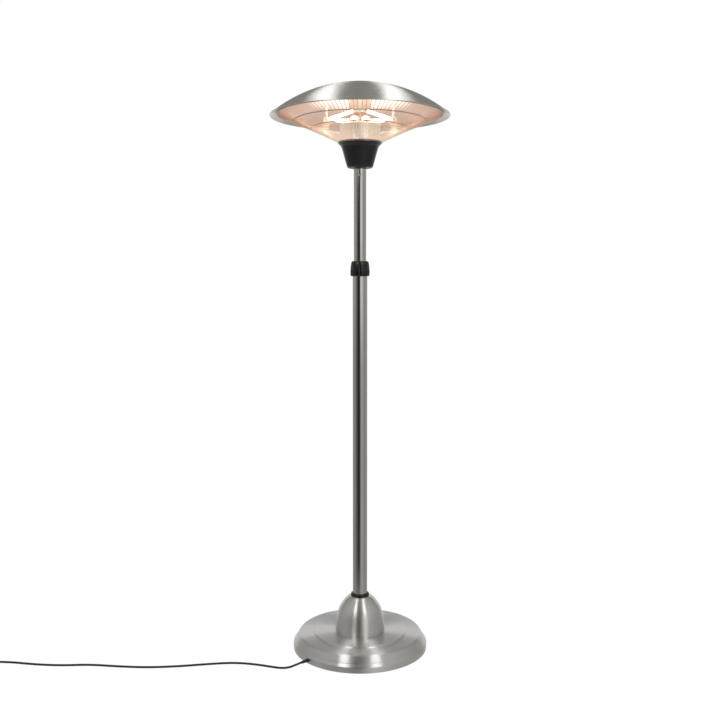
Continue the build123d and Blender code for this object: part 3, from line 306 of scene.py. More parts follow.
    def _lamp_glow(self) -> Tree:
        """Warm light of the lamps painted as emission on what stands round them, brightest near their ring.
        """
        outputs = {"Colour": "NodeSocketColor", "Painted Light": "NodeSocketFloat"}
        inputs = {"Ring": 0.105, "Reach": 0.068}
        tree, taken, given, where = self._start("lamp_glow", inputs, outputs)
        radius, _ = axis_parts(tree, where)
        away = calc(
            tree, "DIVIDE", calc(tree, "SUBTRACT", radius, taken.outputs["Ring"]),
            taken.outputs["Reach"],
        )
        painted_lamp_light = calc(tree, "EXPONENT", calc(tree, "MULTIPLY", calc(tree, "MULTIPLY", away, away), -1.0))
        cloud = calc(tree, "ADD", calc(tree, "MULTIPLY", noise(tree, where, 18.0), 0.5), 0.75)
        patchy = calc(tree, "MULTIPLY", painted_lamp_light, cloud)
        ramp = place(tree, "ShaderNodeValToRGB", {0: patchy})
        fill_ramp(ramp.color_ramp, GLOW_STOPS)
        feed(tree, given.inputs["Colour"], ramp.outputs["Color"])
        feed(tree, given.inputs["Painted Light"], patchy)
        return tree

    def use(self, tree: Tree, name: str, **inputs: Any) -> bpy.types.Node:
        """Place one effect in a material's tree with its own values."""
        node = place(tree, "ShaderNodeGroup", node_tree=self.groups[name])
        for label, value in inputs.items():
            feed(tree, node.inputs[label], value)
        return node


def fill_ramp(ramp: bpy.types.ColorRamp, stops: Iterable[tuple[float, Colour]]) -> None:
    """Set the stops of a colour ramp."""
    stops = list(stops)
    while len(ramp.elements) < len(stops):
        ramp.elements.new(0.5)
    for element, (at, colour) in zip(ramp.elements, stops):
        element.position = at
        element.color = (*colour, 1.0)


# ---------------------------------------------------------------- finishes
METAL_DUST: Colour = (0.52, 0.50, 0.47)
PLASTIC_DUST: Colour = (0.45, 0.43, 0.40)


class Sheet:
    """One material under construction: its tree, its shader and a bump chain."""

    def __init__(self, name: str) -> None:
        """Make the material with a bare Principled shader."""
        self.material = bpy.data.materials.new(name)
        self.material.use_nodes = True
        self.tree = self.material.node_tree
        self.tree.nodes.clear()
        self.shader = place(self.tree, "ShaderNodeBsdfPrincipled")
        output = place(self.tree, "ShaderNodeOutputMaterial")
        self.tree.links.new(self.shader.outputs[0], output.inputs["Surface"])

    def put(self, **values: Any) -> None:
        """Feed the shader's inputs, written with underscores for spaces."""
        for label, value in values.items():
            socket = self.shader.inputs[label.replace("_", " ")]
            feed(
                self.tree, socket,
                (*value, 1.0) if isinstance(value, tuple) and len(value) == 3 else value,
            )

    def bump(self, height: Any, depth: float) -> None:
        """Feed the shader's normal from a height, with the depth of a full step in metres."""
        inputs = {"Height": height, "Distance": depth, "Strength": 1.0}
        self.put(Normal=place(self.tree, "ShaderNodeBump", inputs).outputs[0])

    def cover(
        self, kit: ShaderKit, look: "Metal | Moulded", tone: Socket, worn: Colour, dusty: Colour
    ) -> Socket:
        """Colour a surface by its grain, then its worn edges, then the dust on it.

        Args:
            kit: The shared effects.
            look: The finish, with its colour, tone, wear and dust.
            tone: Where the grain is dark or light.
            worn: Colour of rubbed edges.
            dusty: Colour of the dust.

        Returns:
            The dust's mask.
        """
        wear = kit.use(self.tree, "edge_wear", Amount=look.wear).outputs["Mask"]
        dust = kit.use(self.tree, "dust_film", Amount=look.dust).outputs["Mask"]
        dark = tuple(c * (1 - look.tone) for c in look.colour)
        light = tuple(min(1.0, c * (1 + look.tone)) for c in look.colour)
        base = blend_colour(self.tree, wear, blend_colour(self.tree, tone, dark, light), worn)
        self.put(Base_Color=blend_colour(self.tree, dust, base, dusty))
        return dust

    def gloss(self, rough: Any, change: Socket, dust: Socket, matt: float) -> None:
        """Set the roughness: its own, its change over the surface, and how matt the dust makes it."""
        rough = calc(self.tree, "ADD", rough, change)
        self.put(
            Roughness=calc(self.tree, "ADD", rough, calc(self.tree, "MULTIPLY", dust, matt), clamp=True)
        )


@dataclass(frozen=True)
class Metal:
    """Worked metal: grooves, edge wear, dust and smears over one base colour, and lamp light painted on as
    emission where glow is set.
    """

    name: str
    colour: Colour
    grain: Grain
    scale: float
    depth: float
    rough: float
    swing: float = 0.05
    tone: float = 0.12
    along: float = 0.0
    turn: float = 0.0
    wear: float = 0.35
    dust: float = 0.05
    # strength of the lamps' light painted on as emission; the metal itself is no lamp
    glow: float = 0.0

    def build(self, kit: ShaderKit) -> Material:
        """Make the material from the shared effects."""
        sheet = Sheet(self.name)
        tree = sheet.tree
        grain = kit.use(tree, self.grain.value, Scale=self.scale)
        smear = kit.use(tree, "smears").outputs["Value"]
        bright = tuple(min(1.0, c * 1.25) for c in self.colour)
        dust = sheet.cover(kit, self, grain.outputs["Tone"], bright, METAL_DUST)
        sheet.put(Metallic=1.0)
        rough = calc(tree, "ADD", self.rough, calc(tree, "MULTIPLY", grain.outputs["Tone"], self.swing))
        sheet.gloss(rough, calc(tree, "MULTIPLY", smear, 0.4 * self.swing), dust, 0.5)
        sheet.bump(grain.outputs["Height"], self.depth)
        if self.along:
            sheet.put(Anisotropic=self.along, Anisotropic_Rotation=self.turn)
            sheet.put(
                Tangent=place(tree, "ShaderNodeTangent", direction_type="RADIAL", axis="Z").outputs[0]
            )
        # painted lamp light: emission on metal that is no lamp, for the lamps' warm light falling on it
        if self.glow:
            painted_lamp_light = kit.use(tree, "lamp_glow")
            sheet.put(Emission_Color=painted_lamp_light.outputs["Colour"], Emission_Strength=self.glow)
        return sheet.material


@dataclass(frozen=True)
class Moulded:
    """Moulded plastic, rubber, ceramic or cast material."""

    name: str
    colour: Colour
    rough: float
    scale: float = 1400.0
    depth: float = 0.00003
    tone: float = 0.2
    coat: float = 0.0
    wear: float = 0.3
    worn: Colour = (0.12, 0.12, 0.12)
    dust: float = 0.05
    through: float = 0.0

    def build(self, kit: ShaderKit) -> Material:
        """Make the material from the shared effects."""
        sheet = Sheet(self.name)
        tree = sheet.tree
        skin = kit.use(tree, "moulded_skin", Scale=self.scale)
        smear = kit.use(tree, "smears", Scale=22.0).outputs["Value"]
        dust = sheet.cover(kit, self, skin.outputs["Tone"], self.worn, PLASTIC_DUST)
        sheet.gloss(self.rough, calc(tree, "MULTIPLY", smear, 0.06), dust, 0.4)
        sheet.put(Coat_Weight=self.coat, Coat_Roughness=0.15, Subsurface_Weight=self.through)
        sheet.bump(skin.outputs["Height"], self.depth)
        return sheet.material


@dataclass(frozen=True)
class HotWire:
    """Incandescent tungsten wire."""

    name: str
    colour: Colour = (1.0, 0.80, 0.52)
    strength: float = 8.0

    def build(self, kit: ShaderKit) -> Material:
        """Make the material from the shared effects, with slightly cooler wire in places."""
        sheet = Sheet(self.name)
        cloud = kit.use(sheet.tree, "smears", Scale=40.0).outputs["Value"]
        share = spread(sheet.tree, cloud, -1.0, 1.0)
        glow = blend_colour(sheet.tree, share, tuple(0.85 * c for c in self.colour), self.colour)
        sheet.put(Base_Color=(0.30, 0.28, 0.26), Metallic=1.0, Roughness=0.5)
        sheet.put(Emission_Color=glow, Emission_Strength=self.strength)
        return sheet.material


@dataclass(frozen=True)
class Quartz:
    """Clear quartz glass with faint draw lines, lit from inside."""

    name: str
    glow: float

    def build(self, kit: ShaderKit) -> Material:
        """Make the material from the shared effects."""
        sheet = Sheet(self.name)
        cloud = kit.use(sheet.tree, "smears", Scale=60.0).outputs["Value"]
        rough = calc(sheet.tree, "ADD", 0.04, calc(sheet.tree, "MULTIPLY", cloud, 0.02), clamp=True)
        share = spread(sheet.tree, cloud, -1, 1)
        tint = blend_colour(sheet.tree, share, (1.0, 0.86, 0.66), (1.0, 0.95, 0.86))
        sheet.put(Base_Color=(1.0, 0.99, 0.97), Roughness=rough, Transmission_Weight=0.7, IOR=1.46)
        sheet.put(Emission_Color=tint, Emission_Strength=self.glow)
        return sheet.material


FINISHES = (
    Metal(
        "spun_base", (0.65, 0.645, 0.635), Grain.TURNED, 1100.0, 0.000003, 0.28, 0.04, 0.10, along=1.0,
        turn=0.25,
    ),
    Metal(
        "bell", (0.68, 0.68, 0.65), Grain.TURNED, 1300.0, 0.000004, 0.30, 0.04, 0.08, along=1.0,
        turn=0.25,
    ),
    Metal(
        "dome", (0.58, 0.565, 0.54), Grain.TURNED, 1000.0, 0.0000025, 0.26, 0.04, 0.10, along=1.0,
        turn=0.25,
    ),
    Metal("pole", (0.56, 0.54, 0.51), Grain.DRAWN, 1500.0, 0.0000015, 0.10, 0.06, 0.16),
    # The warm tints of the can, column, reflector and guard wires are painted lamp light on bare steel, and
    # so is their glow, an emission though none of them is a lamp.
    Metal("can_steel", (0.80, 0.74, 0.66), Grain.TURNED, 900.0, 0.00001, 0.24, glow=0.35),
    Metal("column_steel", (0.70, 0.55, 0.46), Grain.DRAWN, 1100.0, 0.000002, 0.14, glow=0.20),
    Metal("reflector", (0.86, 0.74, 0.66), Grain.TURNED, 700.0, 0.00002, 0.22, glow=0.9),
    Metal("guard_wire", (0.80, 0.58, 0.46), Grain.DRAWN, 900.0, 0.00001, 0.22, wear=0.1, glow=0.30),
    Metal("guard_hoop", (0.40, 0.27, 0.20), Grain.DRAWN, 900.0, 0.00001, 0.30, wear=0.1),
    # Painted lamp light on the lamp brackets too: a warm tint and an emission on bare steel.
    Metal("bracket_steel", (0.80, 0.72, 0.64), Grain.TURNED, 700.0, 0.00001, 0.30, wear=0.3, glow=0.55),
    Metal("plate_steel", (0.50, 0.49, 0.48), Grain.TURNED, 700.0, 0.00001, 0.30, wear=0.6),
    Metal("zinc", (0.62, 0.63, 0.65), Grain.TURNED, 500.0, 0.00002, 0.34, 0.12, 0.2, wear=0.6),
    Metal("screw_steel", (0.52, 0.51, 0.50), Grain.TURNED, 1600.0, 0.00001, 0.25, wear=0.7),
    Metal("brass", (0.80, 0.63, 0.34), Grain.DRAWN, 1400.0, 0.00001, 0.22, wear=0.6),
    Moulded("hub_black", (0.004, 0.004, 0.0045), 0.30, 1500.0, 0.00002, wear=0.1, dust=0.02),
    Moulded("collar_black", (0.004, 0.004, 0.0045), 0.24, 1700.0, 0.00001, wear=0.1, dust=0.02),
    Moulded("switch_black", (0.020, 0.020, 0.021), 0.42),
    Moulded("rubber", (0.018, 0.018, 0.018), 0.62, 900.0, 0.00005, wear=0.4, dust=0.2),
    Moulded("cord_rubber", (0.012, 0.012, 0.013), 0.45, 1800.0, 0.00002, dust=0.08),
    Moulded("silicone", (0.42, 0.38, 0.34), 0.55, 1200.0, 0.00002),
    Moulded("ceramic", (0.82, 0.77, 0.69), 0.40, 700.0, 0.00003, 0.06, coat=0.2, worn=(0.6, 0.55, 0.5)),
    Moulded("nylon", (0.78, 0.77, 0.73), 0.42, 1200.0, 0.00002, 0.05, worn=(0.6, 0.6, 0.58), through=0.1),
    Moulded("concrete", (0.34, 0.33, 0.31), 0.88, 260.0, 0.0004, 0.3, wear=0.2, worn=(0.5, 0.49, 0.46)),
    Moulded("mark_white", (0.80, 0.80, 0.78), 0.5, worn=(0.6, 0.6, 0.6)),
    HotWire("hot_wire"),
    Quartz("quartz", 4.0),
)


class Wardrobe:
    """All finishes, made once and handed out by name."""

    def __init__(self) -> None:
        """Build the shared effects and every finish."""
        kit = ShaderKit()
        self.materials = {finish.name: finish.build(kit) for finish in FINISHES}

    def dress_node(self, node: str, finish: str) -> None:
        """Give a CAD node a finish without touching its mesh."""
        slots = frame["nodes"][node].material_slots
        if not slots:
            frame["nodes"][node].data.materials.append(self.materials[finish])
        for slot in slots:
            slot.link = "DATA"
            slot.material = self.materials[finish]


# ---------------------------------------------------------------- outlines and meshes
HALF_SIDE = 0.49  # share of a side that a rounding may use towards another rounding
WHOLE_SIDE = 0.97  # and towards a sharp corner
WEAR_FROM = 60.0  # turn per metre at which an outer edge starts to wear
WEAR_SPAN = 500.0  # and how much more wears it fully


def rounded(corners: Corners, step: float = math.radians(12)) -> Outline:
    """Round the corners of a closed outline.

    Args:
        corners: Radius, height and rounding of each corner, in millimetres.
        step: Largest turn between two points of an arc.

    Returns:
        Radius and height of each point, in metres.
    """
    points: Outline = []
    for i, (r, z, size) in enumerate(corners):
        here = Vector((r, z))
        before, after = corners[i - 1], corners[(i + 1) % len(corners)]
        back, ahead = Vector(before[:2]) - here, Vector(after[:2]) - here
        ends = ((before, back.length), (after, ahead.length))
        if size <= 0 or back.length < 1e-9 or ahead.length < 1e-9:
            points.append((r * MM, z * MM))
            continue
        half = back.angle(ahead) / 2
        room = [length * (HALF_SIDE if near[2] > 0 else WHOLE_SIDE) for near, length in ends]
        cut = min(size / math.tan(half), *room)
        size = cut * math.tan(half)
        middle = here + (back.normalized() + ahead.normalized()).normalized() * (size / math.sin(half))
        start = here + back.normalized() * cut - middle
        turn = (here + ahead.normalized() * cut - middle).angle_signed(start)
        count = max(2, math.ceil(abs(turn) / step))
        for k in range(count + 1):
            spoke = start.copy()
            spoke.rotate(Matrix.Rotation(turn * k / count, 2))
            points.append(((middle.x + spoke.x) * MM, (middle.y + spoke.y) * MM))
    return points


def smooth_line(
    points: Outline, first: tuple[float, float], last: tuple[float, float], share: int = 10
) -> Outline:
    """Run one smooth curve through points, with a given direction at each end.

    Args:
        points: Radius and height of the points, in millimetres.
        first: Direction at the first point.
        last: Direction at the last point.
        share: Steps between two points.

    Returns:
        Points of the curve, in millimetres.
    """
    places = [Vector(p) for p in points]
    gaps = [(b - a).length for a, b in zip(places, places[1:])]
    slopes = [Vector(first).normalized()]
    for i in range(1, len(places) - 1):
        before = (places[i] - places[i - 1]) / gaps[i - 1]
        after = (places[i + 1] - places[i]) / gaps[i]
        slopes.append((before * gaps[i] + after * gaps[i - 1]) / (gaps[i] + gaps[i - 1]))
    slopes.append(Vector(last).normalized())
    line: Outline = []
    for i, gap in enumerate(gaps):
        for k in range(share + (i == len(gaps) - 1)):
            t = k / share
            spot = (2 * t**3 - 3 * t**2 + 1) * places[i] + (3 * t**2 - 2 * t**3) * places[i + 1]
            spot += gap * ((t**3 - 2 * t**2 + t) * slopes[i] + (t**3 - t**2) * slopes[i + 1])
            line.append((spot.x, spot.y))
    return line


def mark_edges(mesh: Mesh) -> None:
    """Store on each vertex how tightly the surface turns outwards there, from 0 to 1."""
    form = bmesh.new()
    form.from_mesh(mesh)
    layer = form.verts.layers.float.new("edge")
    for edge in form.edges:
        if len(edge.link_faces) == 2 and edge.calc_length() > 0:
            width = sum(f.calc_area() for f in edge.link_faces) / (2 * edge.calc_length())
            turn = edge.calc_face_angle_signed(0.0) / max(width, 1e-5)
            value = min(1.0, max(0.0, (turn - WEAR_FROM) / WEAR_SPAN))
            for vert in edge.verts:
                vert[layer] = max(vert[layer], value)
    form.to_mesh(mesh)
    form.free()


class Draft:
    """Vertices and faces of one mesh under construction."""

    def __init__(self) -> None:
        """Start with nothing."""
        self.verts: list[Vector] = []
        self.faces: list[tuple[int, ...]] = []

    def spin(
        self, outline: Outline, segments: int = 128,
        shape: Callable[[float, float, float], float] | None = None,
    ) -> "Draft":
        """Turn a closed outline about the Z axis.

        Args:
            outline: Radius and height of its points, in metres.
            segments: Steps round the axis.
            shape: Optional rule that gives the radius from radius, height and angle.

        Returns:
            This draft.
        """
        area = sum(a[0] * b[1] - b[0] * a[1] for a, b in zip(outline, outline[1:] + outline[:1]))
        if area < 0:
            outline = outline[::-1]
        rows = []
        for r, z in outline:
            if r < 1e-7:
                rows.append([len(self.verts)] * segments)
                self.verts.append(Vector((0, 0, z)))
                continue
            rows.append(list(range(len(self.verts), len(self.verts) + segments)))
            for k in range(segments):
                angle = FULL_TURN * k / segments
                at = shape(r, z, angle) if shape else r
                self.verts.append(Vector((at * math.cos(angle), at * math.sin(angle), z)))
        for low, high in zip(rows, rows[1:] + rows[:1]):
            for k in range(segments):
                after = (k + 1) % segments
                ring = list(dict.fromkeys((low[k], low[after], high[after], high[k])))
                if len(ring) > 2:
                    self.faces.append(tuple(ring))
        return self

    def add(self, other: "Draft", move: Matrix | None = None) -> "Draft":
        """Add a copy of another draft, moved by a matrix."""
        start = len(self.verts)
        self.verts += [move @ v if move else v.copy() for v in other.verts]
        self.faces += [tuple(start + i for i in face) for face in other.faces]
        return self

    def box(self, low: Place, high: Place, bevel: float) -> "Draft":
        """Add a block with rounded edges.

        Args:
            low: Lowest corner, in metres.
            high: Highest corner, in metres.
            bevel: Rounding of its edges.

        Returns:
            This draft.
        """
        form = bmesh.new()
        bmesh.ops.create_cube(form, size=1.0)
        size = Vector(high) - Vector(low)
        middle = (Vector(high) + Vector(low)) / 2
        for vert in form.verts:
            vert.co = Vector(v * s for v, s in zip(vert.co, size)) + middle
        bmesh.ops.bevel(form, geom=form.edges[:], offset=bevel, segments=3, profile=0.5, affect="EDGES")
        block = Draft()
        block.verts = [v.co.copy() for v in form.verts]
        block.faces = [tuple(v.index for v in f.verts) for f in form.faces]
        form.free()
        return self.add(block)

    def mesh(self, name: str) -> Mesh:
        """Make the Blender mesh."""
        mesh = bpy.data.meshes.new(name)
        mesh.from_pydata([tuple(v) for v in self.verts], [], self.faces)
        mesh.update()
        return mesh


class Workshop:
    """Turns meshes into pieces that ride on the frame."""

    def __init__(self, wardrobe: Wardrobe) -> None:
        """Keep the finishes at hand."""
        self.wardrobe = wardrobe
        self.trees = TreeShelf()

    def piece(
        self, name: str, form: "Draft | Mesh", finish: str, body: Body, slot: str,
        stands_for: tuple[str, ...] = (), sharp: float = 40.0, wear: bool = True,
    ) -> bpy.types.Object:
        """Finish one piece.

        Args:
            name: Name of the piece.
            form: Its draft or mesh, in place.
            finish: Name of its finish.
            body: The body that it rides on.
            slot: Material slot of the record; not used.
            stands_for: CAD nodes that it replaces.
            sharp: Angle in degrees above which an edge stays sharp.
            wear: Whether its outer edges are measured for wear.

        Returns:
            The new object.
        """
        mesh = form.mesh(name) if isinstance(form, Draft) else form
        piece = bpy.data.objects.new(name, mesh)
        bpy.context.scene.collection.objects.link(piece)
        mesh.materials.clear()
        mesh.materials.append(self.wardrobe.materials[finish])
        for face in mesh.polygons:
            face.use_smooth = True
            face.material_index = 0
        if wear:
            mark_edges(mesh)
        mesh.set_sharp_from_angle(angle=math.radians(sharp))
        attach(piece, body.value)
        if stands_for:
            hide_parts(*stands_for)
        log.info("%s: %d faces on %s", name, len(mesh.polygons), body.value)
        return piece

    def grow(self, tree: Tree, values: dict[str, Any], finish: str) -> Mesh:
        """Run a geometry tree and keep its result as a plain mesh.

        Args:
            tree: The tree to run.
            values: Its inputs, by name.
            finish: Name of the finish that it sets.

        Returns:
            The mesh.
        """
        host = bpy.data.objects.new("host", bpy.data.meshes.new("host"))
        bpy.context.scene.collection.objects.link(host)
        modifier = host.modifiers.new("grow", "NODES")
        modifier.node_group = tree
        values = {**values, "Finish": self.wardrobe.materials[finish]}
        for item in tree.interface.items_tree:
            if item.item_type == "SOCKET" and item.in_out == "INPUT" and item.name in values:
                modifier[item.identifier] = values[item.name]
        view = bpy.context.evaluated_depsgraph_get()
        mesh = bpy.data.meshes.new_from_object(host.evaluated_get(view), depsgraph=view)
        bpy.data.objects.remove(host)
        return mesh

    def repeat(self, part: Draft, count: int, start: float, finish: str) -> Mesh:
        """Repeat a part round the Z axis.

        Args:
            part: The part, in its place at angle zero.
            count: How many.
            start: Angle of the first, in degrees.
            finish: Name of the finish.

        Returns:
            The mesh of all of them.
        """
        pattern = bpy.data.objects.new("pattern", part.mesh("pattern"))
        bpy.context.scene.collection.objects.link(pattern)
        values = {"Part": pattern, "Count": count, "Start": math.radians(start)}
        mesh = self.grow(self.trees.around, values, finish)
        bpy.data.objects.remove(pattern)
        return mesh


class TreeShelf:
    """Geometry node trees for what repeats or follows a rule."""

    def __init__(self) -> None:
        """Build every tree."""
        self.around = self._around()
        self.fan = self._fan()
        self.hoop = self._hoop()
        self.winding = self._winding()
        self.cap = self._cap()

    @staticmethod
    def _start(name: str, sizes: dict[str, tuple[str, Any]]) -> tuple:
        """Make an empty tree with its named inputs.

        Args:
            name: Name of the tree.
            sizes: Socket type and default of each input.

        Returns:
            The tree and its input node.
        """
        tree = bpy.data.node_groups.new(name, "GeometryNodeTree")
        tree.interface.new_socket("Geometry", in_out="OUTPUT", socket_type="NodeSocketGeometry")
        for label, (kind, default) in {**sizes, "Finish": ("Material", None)}.items():
            socket = tree.interface.new_socket(label, in_out="INPUT", socket_type="NodeSocket" + kind)
            if default is not None:
                socket.default_value = default
        return tree, place(tree, "NodeGroupInput")

    @staticmethod
    def _end(tree: Tree, taken: bpy.types.Node, shape: Socket) -> Tree:
        """Realize the instances, set the finish and close the tree."""
        real = place(tree, "GeometryNodeRealizeInstances", {0: shape})
        inputs = {"Geometry": real.outputs[0], "Material": taken.outputs["Finish"]}
        dressed = place(tree, "GeometryNodeSetMaterial", inputs)
        place(tree, "NodeGroupOutput", {0: dressed.outputs[0]})
        return tree

    @staticmethod
    def _turned(tree: Tree, count: Any, start: Any, part: Any) -> Socket:
        """Instances of a part, turned evenly about the Z axis.

        Args:
            tree: The tree to work in.
            count: How many.
            start: Angle of the first, in radians.
            part: Geometry of the part.

        Returns:
            The instances.
        """
        points = place(tree, "GeometryNodeMeshLine", {"Count": count, "Offset": (0.0, 0.0, 0.0)})
        share = calc(tree, "DIVIDE", place(tree, "GeometryNodeInputIndex").outputs[0], count)
        angle = calc(tree, "MULTIPLY_ADD", share, FULL_TURN, start)
        euler = place(tree, "ShaderNodeCombineXYZ", {2: angle}).outputs[0]
        turn = place(tree, "FunctionNodeEulerToRotation", {0: euler}).outputs[0]
        inputs = {"Points": points.outputs[0], "Instance": part, "Rotation": turn}
        return place(tree, "GeometryNodeInstanceOnPoints", inputs).outputs[0]

    @staticmethod
    def _wire(tree: Tree, path: Any, thickness: Any, sides: int, closed: bool = True) -> Socket:
        """Round wire along a curve."""
        section = place(
            tree, "GeometryNodeCurvePrimitiveCircle", {"Resolution": sides, "Radius": thickness}
        )
        inputs = {"Curve": path, "Profile Curve": section.outputs[0], "Fill Caps": closed}
        return place(tree, "GeometryNodeCurveToMesh", inputs).outputs[0]

    def _around(self) -> Tree:
        """Copies of one part round the Z axis."""
        sizes = {"Part": ("Object", None), "Count": ("Int", 6), "Start": ("Float", 0.0)}
        tree, taken = self._start("copies_round_the_axis", sizes)
        part = place(tree, "GeometryNodeObjectInfo", {"Object": taken.outputs["Part"]}).outputs["Geometry"]
        copies = self._turned(tree, taken.outputs["Count"], taken.outputs["Start"], part)
        return self._end(tree, taken, copies)

    def _fan(self) -> Tree:
        """Fan of bent wires between two hoops."""
        sizes = {
            "Near": ("Vector", (0.07, 0.0, 0.0)),
            "Bend": ("Vector", (0.16, 0.0, 0.0)),
            "Far": ("Vector", (0.27, 0.0, 0.0)),
            "Bend Radius": ("Float", 0.012),
            "Thickness": ("Float", 0.001),
            "Count": ("Int", 120),
        }
        tree, taken = self._start("fan_of_wires", sizes)
        line = place(tree, "GeometryNodeMeshLine", {"Count": 3})
        pick = place(tree, "GeometryNodeIndexSwitch", data_type="VECTOR")
        pick.index_switch_items.new()
        feed(tree, pick.inputs[0], place(tree, "GeometryNodeInputIndex").outputs[0])
        for k, label in enumerate(("Near", "Bend", "Far")):
            feed(tree, pick.inputs[k + 1], taken.outputs[label])
        bent = place(
            tree, "GeometryNodeSetPosition", {"Geometry": line.outputs[0], "Position": pick.outputs[0]}
        )
        curve = place(tree, "GeometryNodeMeshToCurve", {0: bent.outputs[0]})
        inputs = {"Curve": curve.outputs[0], "Radius": taken.outputs["Bend Radius"], "Count": 3}
        soft = place(tree, "GeometryNodeFilletCurve", inputs, mode="POLY")
        wire = self._wire(tree, soft.outputs[0], taken.outputs["Thickness"], 8)
        half = calc(tree, "DIVIDE", math.pi, taken.outputs["Count"])
        return self._end(tree, taken, self._turned(tree, taken.outputs["Count"], half, wire))

    def _hoop(self) -> Tree:
        """Round wire bent into a level ring."""
        sizes = {"Radius": ("Float", 0.1), "Height": ("Float", 0.0), "Thickness": ("Float", 0.001)}
        tree, taken = self._start("level_hoop", sizes)
        ring = place(
            tree, "GeometryNodeCurvePrimitiveCircle",
            {"Resolution": 144, "Radius": taken.outputs["Radius"]},
        )
        offset = place(tree, "ShaderNodeCombineXYZ", {2: taken.outputs["Height"]}).outputs[0]
        lifted = place(tree, "GeometryNodeSetPosition", {"Geometry": ring.outputs[0], "Offset": offset})
        wire = self._wire(tree, lifted.outputs[0], taken.outputs["Thickness"], 12, False)
        return self._end(tree, taken, wire)

    def _winding(self) -> Tree:
        """Wire wound into a long coil on the Z axis."""
        sizes = {
            "Turns": ("Float", 100.0),
            "Radius": ("Float", 0.0015),
            "Length": ("Float", 0.1),
            "Thickness": ("Float", 0.0003),
        }
        tree, taken = self._start("wound_coil", sizes)
        inputs = {
            "Resolution": 9,
            "Rotations": taken.outputs["Turns"],
            "Start Radius": taken.outputs["Radius"],
            "End Radius": taken.outputs["Radius"],
            "Height": taken.outputs["Length"],
        }
        spiral = place(tree, "GeometryNodeCurveSpiral", inputs)
        return self._end(tree, taken, self._wire(tree, spiral.outputs[0], taken.outputs["Thickness"], 5))

    def _cap(self) -> Tree:
        """Skin of a spherical cap, spun from its crown to its rim."""
        sizes = {
            "Sphere Radius": ("Float", 0.47),
            "Crown Height": ("Float", 1.9),
            "Inner Angle": ("Float", 0.0),
            "Outer Angle": ("Float", 0.69),
            "Inside": ("Bool", False),
        }
        tree, taken = self._start("spherical_cap", sizes)
        grid = place(
            tree, "GeometryNodeMeshGrid",
            {"Size X": 1.0, "Size Y": 1.0, "Vertices X": 193, "Vertices Y": 33},
        )
        position = place(tree, "GeometryNodeInputPosition").outputs[0]
        spot = place(tree, "ShaderNodeSeparateXYZ", {0: position})
        around = calc(tree, "MULTIPLY", calc(tree, "ADD", spot.outputs[0], 0.5), FULL_TURN)
        share = calc(tree, "ADD", spot.outputs[1], 0.5)
        sweep = calc(tree, "SUBTRACT", taken.outputs["Outer Angle"], taken.outputs["Inner Angle"])
        slope = calc(tree, "MULTIPLY_ADD", share, sweep, taken.outputs["Inner Angle"])
        out = calc(tree, "MULTIPLY", calc(tree, "SINE", slope), taken.outputs["Sphere Radius"])
        fall = calc(tree, "SUBTRACT", calc(tree, "COSINE", slope), 1.0)
        drop = calc(tree, "MULTIPLY", fall, taken.outputs["Sphere Radius"])
        inputs = {
            0: calc(tree, "MULTIPLY", calc(tree, "COSINE", around), out),
            1: calc(tree, "MULTIPLY", calc(tree, "SINE", around), out),
            2: calc(tree, "ADD", drop, taken.outputs["Crown Height"]),
        }
        where = place(tree, "ShaderNodeCombineXYZ", inputs).outputs[0]
        bent = place(tree, "GeometryNodeSetPosition", {"Geometry": grid.outputs[0], "Position": where})
        merged = place(tree, "GeometryNodeMergeByDistance", {"Geometry": bent.outputs[0], "Distance": 1e-6})
        turned = place(tree, "GeometryNodeFlipFaces", {0: merged.outputs[0]})
        outward = place(tree, "GeometryNodeSwitch", input_type="GEOMETRY")
        feed(tree, outward.inputs[0], taken.outputs["Inside"])
        feed(tree, outward.inputs["False"], turned.outputs[0])
        feed(tree, outward.inputs["True"], merged.outputs[0])
        return self._end(tree, taken, outward.outputs[0])


